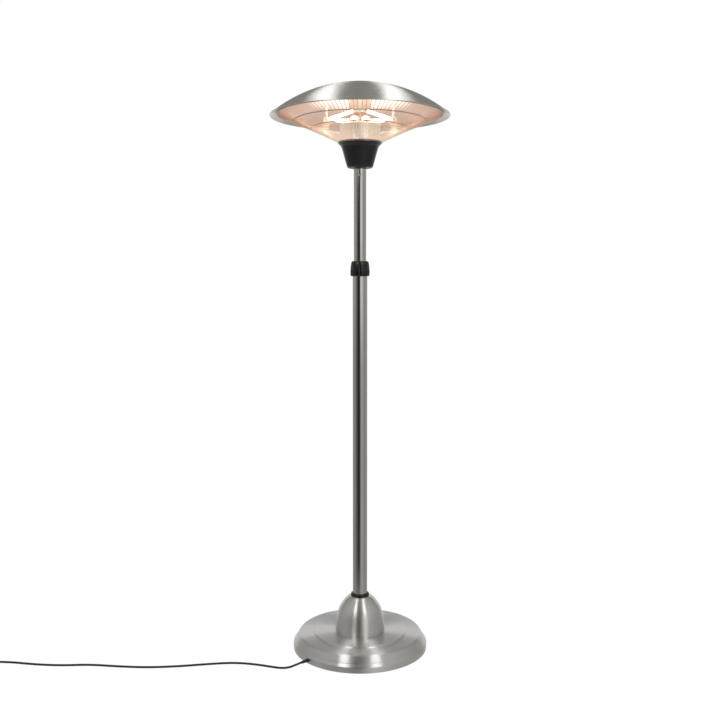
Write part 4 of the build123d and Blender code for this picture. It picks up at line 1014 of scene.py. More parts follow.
# ---------------------------------------------------------------- studio
@dataclass(frozen=True)
class Studio:
    """Camera, pale floor and soft surroundings."""

    camera_place: Place = (0.0, -3.0428, 1.2871)
    camera_drop: float = 4.4
    lens: float = 44.98
    shift: float = -0.0222
    floor_radius: float = 2.0
    floor_middle: tuple[float, float] = (-0.45, 0.75)
    floor_z: float = -0.0004
    floor_steps: int = 96
    floor_lit: float = 0.36
    floor_seen: float = 0.62
    card_half: float = 2.6
    card_y: float = 2.7
    card_top: float = 1.5
    card_lit: float = 0.50

    def camera(self) -> None:
        """Make the camera."""
        data = bpy.data.cameras.new("camera")
        data.sensor_width = 36.0
        data.lens = self.lens
        data.shift_y = self.shift
        camera = bpy.data.objects.new("camera", data)
        camera.location = self.camera_place
        camera.rotation_euler = (math.radians(90 - self.camera_drop), 0.0, 0.0)
        bpy.context.scene.collection.objects.link(camera)
        bpy.context.scene.camera = camera

    @staticmethod
    def _panel(
        name: str, corners: list[Place], sheet: Sheet, grey: float, strength: Any
    ) -> bpy.types.Object:
        """Make one flat matt panel of the stage.

        Args:
            name: Name of the panel.
            corners: Its corners in order.
            sheet: Its material.
            grey: How much of the light it sends back.
            strength: How brightly it shines by itself.

        Returns:
            The panel.
        """
        draft = Draft()
        draft.verts = [Vector(corner) for corner in corners]
        draft.faces.append(tuple(range(len(corners))))
        panel = bpy.data.objects.new(name, draft.mesh(name))
        bpy.context.scene.collection.objects.link(panel)
        sheet.put(Base_Color=(grey, grey, grey), Roughness=0.9, Specular_IOR_Level=0.0)
        sheet.put(Emission_Color=(1.0, 1.0, 1.0), Emission_Strength=strength)
        panel.data.materials.append(sheet.material)
        return panel

    def floor(self) -> None:
        """Lay the pale floor, dimmer to the object than to the camera."""
        (x, y), r = self.floor_middle, self.floor_radius
        angles = [FULL_TURN * k / self.floor_steps for k in range(self.floor_steps)]
        corners = [(x + r * math.cos(a), y + r * math.sin(a), self.floor_z) for a in angles]
        sheet = Sheet("pale_floor")
        seen = place(sheet.tree, "ShaderNodeLightPath").outputs["Is Camera Ray"]
        strength = calc(sheet.tree, "MULTIPLY_ADD", seen, self.floor_seen, self.floor_lit)
        floor = self._panel("floor", corners, sheet, 0.06, strength)
        floor.visible_glossy = False

    def backdrop(self) -> None:
        """Stand a low pale card behind the object, for its steel to mirror."""
        x, y, top = self.card_half, self.card_y, self.card_top
        corners = [(-x, y, 0.0), (x, y, 0.0), (x, y, top), (-x, y, top)]
        card = self._panel("back_card", corners, Sheet("pale_card"), 0.5, self.card_lit)
        card.visible_camera = False

    def world(self) -> None:
        """Soft surroundings: white behind the object, and a grey room with bands for its steel to mirror."""
        world = bpy.data.worlds.new("studio")
        bpy.context.scene.world = world
        world.use_nodes = True
        tree = world.node_tree
        tree.nodes.clear()
        look = place(tree, "ShaderNodeTexCoord").outputs["Generated"]
        split = place(tree, "ShaderNodeSeparateXYZ", {0: look})
        level = split.outputs[2]
        front = calc(tree, "MULTIPLY", split.outputs[1], -1.0)
        turn = calc(
            tree, "MULTIPLY_ADD", calc(tree, "ARCTAN2", split.outputs[0], front), 1 / FULL_TURN, 0.5
        )
        rings = []
        for bands in (LOWER_BANDS, UPPER_BANDS, ROOM_BANDS):
            ring = place(tree, "ShaderNodeValToRGB", {0: turn})
            fill_ramp(ring.color_ramp, self._bands(bands))
            rings.append(ring.outputs[0])
        around = rings[0]
        layers = (
            (-0.08, 0.08, rings[1]), (0.14, 0.30, rings[2]), (0.60, 0.90, CEILING),
            (-0.38, -0.46, GROUND),
        )
        for low, high, tone in layers:
            around = blend_colour(tree, spread(tree, level, low, high), around, tone)
        dim = place(tree, "ShaderNodeBackground", {"Color": around, "Strength": 1.0})
        white = place(tree, "ShaderNodeBackground", {"Color": (1.0, 1.0, 1.0, 1.0), "Strength": 1.0})
        seen = place(tree, "ShaderNodeLightPath").outputs["Is Camera Ray"]
        both = place(tree, "ShaderNodeMixShader", {0: seen, 1: dim.outputs[0], 2: white.outputs[0]})
        place(tree, "ShaderNodeOutputWorld", {"Surface": both.outputs[0]})

    @staticmethod
    def _bands(bands: Iterable[tuple[float, float]]) -> list[tuple[float, Colour]]:
        """Turn angle and brightness pairs into ramp stops, a little warm in the dark."""
        stops = []
        for angle, value in bands:
            cool = min(1.0, 0.90 + 0.1 * value)
            stops.append((angle / 360 + 0.5, (value, value * (0.5 + 0.5 * cool), value * cool)))
        return stops

    def build(self) -> None:
        """Set the whole studio up."""
        self.camera()
        self.floor()
        self.backdrop()
        self.world()
        for box in SOFT_BOXES:
            box.hang()
        bpy.context.scene.view_settings.view_transform = "Standard"


CEILING: Colour = (0.42, 0.41, 0.395)
GROUND: Colour = (0.56, 0.55, 0.535)
UPPER_BANDS = (
    (-180, 0.95), (-160, 0.85), (-140, 0.52), (-95, 0.48), (-72, 0.42), (-54, 0.22), (-36, 0.05),
    (-16, 0.0), (-2, 0.06),
    (9, 0.85), (18, 0.98), (38, 0.85), (52, 0.48), (80, 0.42), (140, 0.48), (160, 0.85), (180, 0.95),
)
ROOM_BANDS = (
    (-180, 0.30), (-130, 0.34), (-90, 0.54), (-50, 0.68), (-18, 0.56), (-9, 0.12), (7, 0.12),
    (18, 0.56), (50, 0.68), (90, 0.54), (130, 0.34), (180, 0.30),
)
LOWER_BANDS = (
    (-180, 0.95), (-160, 0.80), (-140, 0.45), (-95, 0.34), (-72, 0.30), (-54, 0.17), (-36, 0.05),
    (-16, 0.02), (0, 0.08),
    (14, 0.42), (24, 0.52), (40, 0.48), (60, 0.40), (80, 0.36), (140, 0.45), (160, 0.80), (180, 0.95),
)


@dataclass(frozen=True)
class SoftBox:
    """Soft light aimed at a point, by the brightness of its face."""

    name: str
    at: Place
    target: Place
    size: tuple[float, float]
    brightness: float

    def hang(self) -> None:
        """Make the light."""
        data = bpy.data.lights.new(self.name, "AREA")
        data.shape = "RECTANGLE"
        data.size, data.size_y = self.size
        data.energy = self.brightness * math.pi * self.size[0] * self.size[1]
        lamp = bpy.data.objects.new(self.name, data)
        aim = (Vector(self.target) - Vector(self.at)).to_track_quat("-Z", "Y").to_matrix().to_4x4()
        lamp.matrix_world = Matrix.Translation(self.at) @ aim
        lamp.visible_camera = False
        bpy.context.scene.collection.objects.link(lamp)


SOFT_BOXES = (
    SoftBox("roof_left", (-0.85, 1.5, 4.3), (-0.85, 1.5, 0.0), (0.50, 3.0), 2.7),
    SoftBox("roof_right", (0.84, 1.5, 4.3), (0.84, 1.5, 0.0), (0.50, 3.0), 2.9),
    SoftBox("front_left", (-1.5, -2.4, 2.9), (0.0, 0.0, 0.1), (0.95, 1.3), 3.6),
    SoftBox("front_right", (1.5, -2.4, 2.9), (0.0, 0.0, 0.1), (0.95, 1.3), 3.6),
)


# ---------------------------------------------------------------- mains lead
@dataclass(frozen=True)
class MainsLead:
    """Cord from the base to its plug: a loose run on the floor and a stored coil beside it."""

    cord_radius: float = 0.0035
    length: float = 1.91
    exit_place: Place = (-0.19247, -0.16879, 0.014)
    exit_angle: float = 221.25
    base_radius: float = 0.230
    gland_z: float = 0.014
    gland_radius: float = 7.0
    gland_out: float = 4.0
    relief_length: float = 22.0
    relief_radius: float = 5.6
    relief_tip: float = 4.4
    coil_middle: tuple[float, float] = (-1.279, -0.099)
    coil_pitch: float = 0.0072
    coil_out: float = 0.0450
    coil_swell: float = 1.035
    top_radius: float = 0.0398
    top_height: float = 0.0104
    onto_coil: tuple[Place, ...] = (
        (-90, 0.0465, 0.0096), (-120, 0.0438, 0.0104), (-150, 0.0421, 0.0104), (-180, 0.0410, 0.0104),
    )
    into_coil: tuple[Place, ...] = (
        (-450, 0.0380, 0.0104), (-480, 0.0350, 0.0104), (-510, 0.0323, 0.0088), (-540, 0.0308, 0.0048),
    )
    nose_place: Place = (-1.324, -0.080, 0.0048)
    plug_tilt: float = 13.5
    run: tuple[Place, ...] = (
        (-0.208, -0.181, 0.0126), (-0.230, -0.191, 0.0072), (-0.257, -0.189, 0.0036),
        (-0.292, -0.178, 0.0035), (-0.346, -0.159, 0.0035), (-0.420, -0.146, 0.0035),
        (-0.508, -0.158, 0.0035), (-0.600, -0.175, 0.0035), (-0.700, -0.183, 0.0035),
        (-0.797, -0.175, 0.0035), (-0.892, -0.161, 0.0035), (-0.985, -0.168, 0.0035),
        (-1.075, -0.160, 0.0036), (-1.152, -0.145, 0.0040), (-1.204, -0.1435, 0.0050),
        (-1.235, -0.1462, 0.0090), (-1.256, -0.1473, 0.0094),
    )
    tail: tuple[Place, ...] = (
        (-1.3245, -0.1080, 0.0035), (-1.3240, -0.0950, 0.0036), (-1.3240, -0.0850, 0.0043),
        (-1.3240, -0.0740, 0.0062),
    )

    def coil_points(self) -> list[Place]:
        """Turns of the stored coil: one on top, then two on the floor, winding outwards."""
        turns = list(self.onto_coil)
        turns += [(angle, self.top_radius, self.top_height) for angle in range(-210, -421, -30)]
        turns += self.into_coil
        for angle in range(-570, -1231, -30):
            turns.append((angle, self.coil_out - self.coil_pitch * (1260 + angle) / 360, self.cord_radius))
        points = []
        for angle, radius, height in turns:
            turn = math.radians(angle)
            x = self.coil_middle[0] + self.coil_swell * radius * math.cos(turn)
            points.append((x, self.coil_middle[1] + self.coil_swell * radius * math.sin(turn), height))
        return points

    def cord(self, shop: Workshop, gear: list[bpy.types.Object]) -> None:
        """Lay the cord.

        Args:
            shop: Makes the piece.
            gear: The pieces on the cord; not used.
        """
        points = [self.exit_place, *self.run, *self.coil_points(), *self.tail]
        data = bpy.data.curves.new("mains_lead", "CURVE")
        data.dimensions = "3D"
        line = data.splines.new("NURBS")
        line.points.add(len(points) - 1)
        for point, at in zip(line.points, points):
            point.co = (*at, 1.0)
        line.order_u = 3
        line.use_endpoint_u = True
        line.resolution_u = 10
        data.bevel_depth = self.cord_radius
        data.bevel_resolution = 5
        data.use_fill_caps = True
        data.materials.append(shop.wardrobe.materials["cord_rubber"])
        cord = bpy.data.objects.new("mains_lead", data)
        bpy.context.scene.collection.objects.link(cord)
        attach(cord, Body.BASE.value)
        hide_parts("mains_cord", "cord_coil")
        log.info("mains_lead: %d control points", len(points))

    def _exit_matrix(self) -> Matrix:
        """Place at the lip where the cord leaves, with Z pointing outwards."""
        turn = math.radians(self.exit_angle)
        at = Vector((self.base_radius * math.cos(turn), self.base_radius * math.sin(turn), self.gland_z))
        return Matrix.Translation(at) @ Matrix.Rotation(turn, 4, "Z") @ Matrix.Rotation(math.pi / 2, 4, "Y")

    def boot(self, shop: Workshop) -> bpy.types.Object:
        """Make the ribbed tapering sleeve outside the gland."""
        r = self.cord_radius / MM
        corners = [(r, self.gland_out, 0.0), (self.relief_radius, self.gland_out, 0.6)]
        ribs = 6
        pitch = (self.relief_length - 5) / ribs
        for k in range(ribs):
            start = self.gland_out + 2 + pitch * k
            share = (start - self.gland_out) / self.relief_length
            outer = self.relief_radius + (self.relief_tip - self.relief_radius) * share
            corners += [
                (outer, start, 0.25), (outer - 0.9, start + 0.3, 0.25),
                (outer - 0.9, start + 1.1, 0.25), (outer - 0.1, start + 1.4, 0.25),
            ]
        end = self.gland_out + self.relief_length
        corners += [(self.relief_tip, end - 2.0, 0.3), (self.relief_tip - 0.3, end, 0.4), (r, end, 0.0)]
        draft = Draft().add(Draft().spin(rounded(corners), 48), self._exit_matrix())
        return shop.piece("lead_boot", draft, "rubber", Body.BASE, "rubber", ("strain_relief",))

    def gland(self, shop: Workshop) -> None:
        """Make the gland's collar with its gripping flats."""
        r = self.cord_radius / MM
        g = self.gland_radius
        corners = [
            (r + 0.1, -3.5, 0), (g, -3.5, 0), (g, 1.6, 0.3), (g - 0.9, 2.0, 0.2),
            (g - 0.9, self.gland_out - 0.2, 0.8), (r + 0.1, self.gland_out - 0.2, 0.3),
        ]

        def flats(radius: float, height: float, angle: float) -> float:
            """Cut six flats into the collar's wide part."""
            if radius < (g - 1.2) * MM or height > 0.0019:
                return radius
            across = (angle % (math.pi / 3)) - math.pi / 6
            return min(radius, 0.93 * g * MM / math.cos(across))

        draft = Draft().add(Draft().spin(rounded(corners), 72, flats), self._exit_matrix())
        shop.piece("lead_gland", draft, "switch_black", Body.BASE, "black_plastic", ("cable_gland",), 30)

    def _plug_matrix(self) -> Matrix:
        """Place of the plug, with Z running from its nose to its pins."""
        return Matrix.Translation(Vector(self.nose_place)) @ Matrix.Rotation(
            math.radians(-90 + self.plug_tilt), 4, "X"
        )

    def plug(self, shop: Workshop) -> list[bpy.types.Object]:
        """Make the moulded plug with its nose, grip ribs, face and pins."""
        corners = [(0, 0.2, 0), (3.6, 0.2, 0), (4.6, 0.8, 0.5)]
        for k in range(6):
            at = 3.2 + 3.4 * k
            outer = 4.7 + 0.58 * k
            corners += [
                (outer, at, 0.3), (outer - 0.8, at + 0.5, 0.3), (outer - 0.7, at + 1.7, 0.3),
                (outer + 0.25, at + 2.2, 0.3),
            ]
        corners += [
            (8.5, 25.5, 2.0), (12.0, 34.0, 8.0), (15.2, 45.0, 6.0), (15.6, 49.5, 1.0),
            (16.9, 51.0, 1.2), (17.0, 56.6, 1.4), (15.5, 58.0, 1.0), (0, 58.0, 0),
        ]

        def grip(radius: float, height: float, angle: float) -> float:
            """Hollow the grip's two sides and rib them."""
            share = math.exp(-(((height - 0.041) / 0.008) ** 2))
            side = max(0.0, abs(math.cos(angle)) - 0.55) / 0.45
            return radius * (1 - 0.13 * share * side)

        move = self._plug_matrix()
        body = Draft().add(Draft().spin(rounded(corners), 96, grip), move)
        plug = shop.piece("lead_plug", body, "cord_rubber", Body.BASE, "cord_rubber", ("plug_body",))
        pins = Draft()
        collars = Draft()
        pin = Draft().spin(
            rounded([(0, 55, 0), (2.4, 55, 0), (2.4, 76.4, 1.6), (1.6, 77.0, 0.5), (0, 77.0, 0)]), 24
        )
        sleeve = Draft().spin(rounded([(0, 56, 0), (2.46, 56, 0), (2.46, 67.0, 0.05), (0, 67.0, 0)]), 24)
        for side in (-0.5, 0.5):
            shift = move @ Matrix.Translation((side * 19 * MM, 0, 0))
            pins.add(pin, shift)
            collars.add(sleeve, shift)
        metal = shop.piece("lead_pins", pins, "brass", Body.BASE, "plated_brass", ("plug_pins",))
        cover = shop.piece("lead_pin_sleeves", collars, "cord_rubber", Body.BASE, "cord_rubber")
        return [plug, metal, cover]

    def build(self, shop: Workshop) -> None:
        """Make the cord and all that is on it."""
        gear = self.plug(shop)
        self.cord(shop, gear)
        self.gland(shop)
        self.boot(shop)


# ---------------------------------------------------------------- base
@dataclass(frozen=True)
class WeightedBase:
    """Spun steel foot with its bell, seal and rubber feet."""

    radius: float = 230.0
    sheet: float = 1.2
    bell_radius: float = 85.0
    bell_foot: float = 61.0
    bell_top: float = 181.0
    neck: float = 31.0
    foot_ring: float = 192.0
    foot_radius: float = 18.0
    foot_height: float = 6.0
    foot_count: int = 6

    def skin(self, shop: Workshop) -> None:
        """Make the stepped skin with its rolled bottom edge."""
        r, t = self.radius, self.sheet
        outer = [
            (r - 0.6, 3.0, 0.5), (r, 3.6, 0.5), (r, 22.0, 6.0), (r - 7.4, 31.2, 1.2),
            (r - 8.2, 33.4, 1.0), (r - 21, 54.5, 9.0), (r - 70, 57.5, 1.4), (r - 71.75, 61.0, 1.2),
            (62.0, 61.0, 0),
        ]
        inner = [
            (62.0, 61.0 - t, 0), (r - 71.75 - t, 61.0 - t, 0), (r - 70 - t, 57.5 - t, 0),
            (r - 21 - t, 54.5 - t, 3.0), (r - 8 - t, 32.0 - t, 3.0), (r - t, 22.0 - t, 3.0),
            (r - 2.6, 4.6, 0.4), (r - 2.6, 3.3, 0.5),
        ]
        draft = Draft().spin(rounded(outer + inner, math.radians(8)), 192)
        shop.piece("base_skin", draft, "spun_base", Body.BASE, "spun_steel", ("base_shell",), 60)

    def _bell_side(self, inset: float) -> Outline:
        """Curve of the bell's side from foot to neck, set in by the sheet's thickness."""
        r, low, high = self.bell_radius, self.bell_foot, self.bell_top
        tall = high - low
        points = [
            (r - inset, low + 2.0),
            (r - 2.0 - inset, low + 0.2 * tall),
            (0.76 * r - inset, low + 0.75 * tall),
            (self.neck, high - inset),
        ]
        return smooth_line(points, (0, 1), (-1, 0.12), 14)

    def bell(self, shop: Workshop) -> None:
        """Make the bell over the pole's foot."""
        r, low, high = self.bell_radius, self.bell_foot, self.bell_top
        foot = [(r - 0.9, low, 0.0), (r + 0.5, low, 0.4), (r + 0.5, low + 0.9, 0.4)]
        hole = self.neck - 5.3
        sides = [*self._bell_side(0.0), (hole, high), (hole, high - 1), *self._bell_side(1.0)[::-1]]
        draft = Draft().spin(rounded(foot) + [(a * MM, b * MM) for a, b in sides], 160)
        shop.piece("bell", draft, "bell", Body.BASE, "polished_steel", ("bell_cover",), 50)

    def seal(self, shop: Workshop) -> None:
        """Make the black seal between the bell and the pole."""
        z = self.bell_top
        corners = [
            (25.1, z, 0), (31.4, z, 0.8), (32.0, z + 4.0, 2.0), (30.4, z + 9.0, 3.0),
            (25.1, z + 9.6, 0.6),
        ]
        draft = Draft().spin(rounded(corners), 96)
        shop.piece("bell_seal", draft, "collar_black", Body.BASE, "black_plastic", ("seal_ring",))

    def feet(self, shop: Workshop) -> None:
        """Make the rubber feet with their screw recess and tread rings."""
        r, h = self.foot_radius, self.foot_height
        corners = [
            (2.1, h, 0), (2.1, 4.5, 0), (6.0, 4.5, 0), (6.0, 0.0, 0.4), (9.0, 0.0, 0.3),
            (9.6, 0.7, 0.3), (11.4, 0.7, 0.3), (12.0, 0.0, 0.3), (r - 1.2, 0.0, 0.9), (r, 2.0, 0.8),
            (r, h, 0),
        ]
        foot = Draft().add(
            Draft().spin(rounded(corners), 40), Matrix.Translation((self.foot_ring * MM, 0, 0))
        )
        mesh = shop.repeat(foot, self.foot_count, 0.0, "rubber")
        shop.piece("base_feet", mesh, "rubber", Body.BASE, "rubber", ("rubber_feet",))

    def build(self, shop: Workshop) -> None:
        """Make all of the base."""
        self.skin(shop)
        self.bell(shop)
        self.seal(shop)
        self.feet(shop)


# ---------------------------------------------------------------- pole
@dataclass(frozen=True)
class TelescopicPole:
    """Lower tube, twist collar and upper tube."""

    lower_radius: float = 25.0
    lower_span: tuple[float, float] = (65.0, 1312.0)
    upper_radius: float = 21.0
    upper_span: tuple[float, float] = (932.0, 1688.0)
    collar_span: tuple[float, float] = (1282.0, 1333.0)
    collar_bottom: float = 32.4
    collar_top: float = 30.6
    flutes: int = 6
    flute_radius: float = 7.0
    flute_depth: float = 1.6
    screw_z: float = 1619.0

    def tube(
        self, shop: Workshop, name: str, radius: float, wall: float, span: tuple[float, float],
        body: Body, node: str,
    ) -> None:
        """Make one polished tube.

        Args:
            shop: Makes the piece.
            name: Name of the piece.
            radius: Outer radius.
            wall: Thickness of its wall.
            span: Lowest and highest point.
            body: The body that it rides on.
            node: The CAD node that it replaces.
        """
        low, high = span
        corners = [
            (radius - wall, low, 0.3), (radius, low, 0.4), (radius, high, 0.4),
            (radius - wall, high, 0.3),
        ]
        draft = Draft().spin(rounded(corners), 96)
        shop.piece(name, draft, "pole", body, "brushed_steel", (node,), 60)

    def collar(self, shop: Workshop) -> None:
        """Make the fluted twist collar with its soft rims."""
        low, high = self.collar_span
        bottom, top = self.collar_bottom, self.collar_top
        middle = low + 0.5 * (high - low)
        corners = [
            (28.05, low, 0), (30.4, low, 2.4), (bottom, low + 4.4, 5.0), (bottom + 0.3, low + 16, 9.0),
            ((bottom + top) / 2 + 0.3, middle + 4, 9.0),
            (top + 0.2, high - 11, 6.0), (top - 1.4, high - 2.8, 8.0), (top - 5.0, high, 4.0),
            (21.5, high, 0.6), (21.5, high - 4.5, 0), (24.5, high - 4.5, 0), (28.05, low + 34.5, 0),
        ]
        reach = bottom + self.flute_radius - self.flute_depth

        def fluted(radius: float, height: float, angle: float) -> float:
            """Press the grip flutes into the outer face."""
            if radius < 0.0285:
                return radius
            half = math.pi / self.flutes
            off = (angle - math.pi / 2 + half) % (2 * half) - half
            side = reach * math.sin(off)
            if abs(side) >= self.flute_radius:
                return radius
            cut = (reach * math.cos(off) - math.sqrt(self.flute_radius**2 - side**2)) * MM
            soft = 0.0006
            blend = max(0.0, soft - abs(radius - cut)) / soft
            return min(radius, cut) - blend * blend * soft * 0.25

        draft = Draft().spin(rounded(corners, math.radians(9)), 288, fluted)
        shop.piece("twist_collar", draft, "collar_black", Body.LOCK, "black_plastic", ("lock_nut",), 50)

    def screws(self, shop: Workshop) -> None:
        """Make the two pan head screws under the hub."""
        head = cross_screw(4.0, 2.2)
        out = (self.upper_radius + 0.1) * MM
        move = Matrix.Translation((out, 0, self.screw_z * MM)) @ Matrix.Rotation(math.pi / 2, 4, "Y")
        mesh = shop.repeat(Draft().add(head, move), 2, 90.0, "screw_steel")
        shop.piece("pole_screws", mesh, "screw_steel", Body.MAST, "fastener_steel", ("stem_screws",), 35)

    def build(self, shop: Workshop) -> None:
        """Make all of the pole."""
        self.tube(shop, "lower_pole", self.lower_radius, 1.5, self.lower_span, Body.BASE, "lower_tube")
        self.tube(shop, "upper_pole", self.upper_radius, 1.2, self.upper_span, Body.MAST, "upper_tube")
        self.collar(shop)
        self.screws(shop)


def cross_screw(radius: float, height: float) -> Draft:
    """Pan head with a cross recess, standing on Z = 0.

    Args:
        radius: Radius of the head, in millimetres.
        height: Height of the head, in millimetres.

    Returns:
        The head.
    """
    corners = [
        (0, -1.0, 0), (0.5 * radius, -1.0, 0), (0.5 * radius, 0.0, 0), (radius, 0.0, 0.2),
        (radius, 0.55 * height, 0.5 * height), (0.62 * radius, height, 0.3), (0, height, 0),
    ]
    crown = [(share * radius * MM, height * MM) for share in (0.45, 0.3, 0.1, 0)]
    head = Draft().spin(rounded(corners)[:-1] + crown, 48)
    arm = 0.14 * radius * MM
    for vert in head.verts:
        reach = math.hypot(vert.x, vert.y)
        inside = reach < 0.5 * radius * MM and (abs(vert.x) < arm or abs(vert.y) < arm)
        if vert.z > 0.9 * height * MM and inside:
            vert.z -= 0.45 * height * MM
    return head


# ---------------------------------------------------------------- hub
@dataclass(frozen=True)
class Hub:
    """Black moulded hub under the head, with the plate on it and the selector at its back."""

    low: float = 1642.0
    high: float = 1724.0
    bottom_radius: float = 42.2
    top_radius: float = 71.0
    wall: float = 2.5
    plate_radius: float = 74.5
    boss_face: float = 68.0
    knob_z: float = 1688.0

    def shell(self, shop: Workshop) -> None:
        """Make the cone with its flared rim, socket and selector boss."""
        b, t, w = self.bottom_radius, self.top_radius, self.wall
        low, high = self.low, self.high
        outer = [
            (21.3, low + 1.2, 0.4), (23.6, low, 0.6), (b, low, 9.0), (t - 9, high - 12, 14.0),
            (t, high - 2.4, 1.0), (t, high, 0.5),
        ]
        inner = [
            (t - w, high, 0.3), (t - w, high - 1, 0), (t - 9 - w, high - 12, 8.0),
            (b - w, low + w, 6.0), (25.3, low + w, 0), (25.3, low + 34, 0.4), (21.3, low + 34, 0),
        ]
        draft = Draft().spin(rounded(outer + inner, math.radians(8)), 144)
        y0, y1 = 39.0, self.boss_face
        corners = [
            (0, y0, 0), (17.0, y0, 0), (17.0, y1, 1.6), (15.2, y1, 0.2), (15.0, y1 - 0.5, 0.2),
            (0, y1 - 0.5, 0),
        ]
        draft.add(Draft().spin(rounded(corners), 72), self._boss_matrix())
        shop.piece("hub_shell", draft, "hub_black", Body.MAST, "hub_plastic", ("hub_housing",), 50)

    def _boss_matrix(self) -> Matrix:
        """Place of the selector's axis, with Z pointing to the back."""
        return Matrix.Translation((0, 0, self.knob_z * MM)) @ Matrix.Rotation(-math.pi / 2, 4, "X")

    def plate(self, shop: Workshop) -> None:
        """Make the steel plate on the hub."""
        r, z = self.plate_radius, self.high
        corners = [(15, z, 0.2), (r, z, 0.6), (r, z + 1.5, 0.6), (15, z + 1.5, 0.2)]
        draft = Draft().spin(rounded(corners), 144)
        shop.piece("head_plate", draft, "plate_steel", Body.MAST, "zinc_steel", ("hub_plate",))

    def knob(self, shop: Workshop) -> None:
        """Make the selector knob with its finger bar, and the marks round it."""
        y = self.boss_face + 0.5
        corners = [
            (3.05, y, 0.2), (14.0, y, 0.5), (13.6, y + 4.4, 0.9), (11.6, y + 5.2, 0.6),
            (7.0, y + 5.6, 0.8), (0, y + 5.6, 0), (0, y + 4.0, 0), (3.05, y + 4.0, 0),
        ]

        def knurled(radius: float, height: float, angle: float) -> float:
            """Rib the knob's skirt."""
            return radius - 0.00028 * (1 + math.cos(36 * angle)) if radius > 0.0125 else radius

        knob = Draft().spin(rounded(corners), 216, knurled)
        low, high = (-3.0, -12.4, y + 3.0), (3.0, 12.4, y + 15.0)
        knob.box(tuple(v * MM for v in low), tuple(v * MM for v in high), 0.0012)
        body = Draft().add(knob, self._boss_matrix())
        shop.piece("dial_knob", body, "hub_black", Body.KNOB, "hub_plastic", ("selector_knob",), 40)
        mark = Draft().box((-0.0005, -0.0118, (y + 14.6) * MM), (0.0005, -0.0050, (y + 15.2) * MM), 0.0001)
        shop.piece(
            "dial_pointer", Draft().add(mark, self._boss_matrix()), "mark_white", Body.KNOB,
            "hub_plastic",
        )
        corners = [(0, y - 1.0, 0), (0.5, y - 1.0, 0), (0.5, y - 0.3, 0.15), (0, y - 0.3, 0)]
        dot = Draft().add(Draft().spin(rounded(corners), 16), Matrix.Translation((0.0157, 0, 0)))
        marks = shop.repeat(dot, 4, 90.0, "mark_white")
        marks.transform(self._boss_matrix())
        shop.piece("dial_marks", marks, "mark_white", Body.MAST, "hub_plastic")

    def build(self, shop: Workshop) -> None:
        """Make all of the hub."""
        self.shell(shop)
        self.plate(shop)
        self.knob(shop)


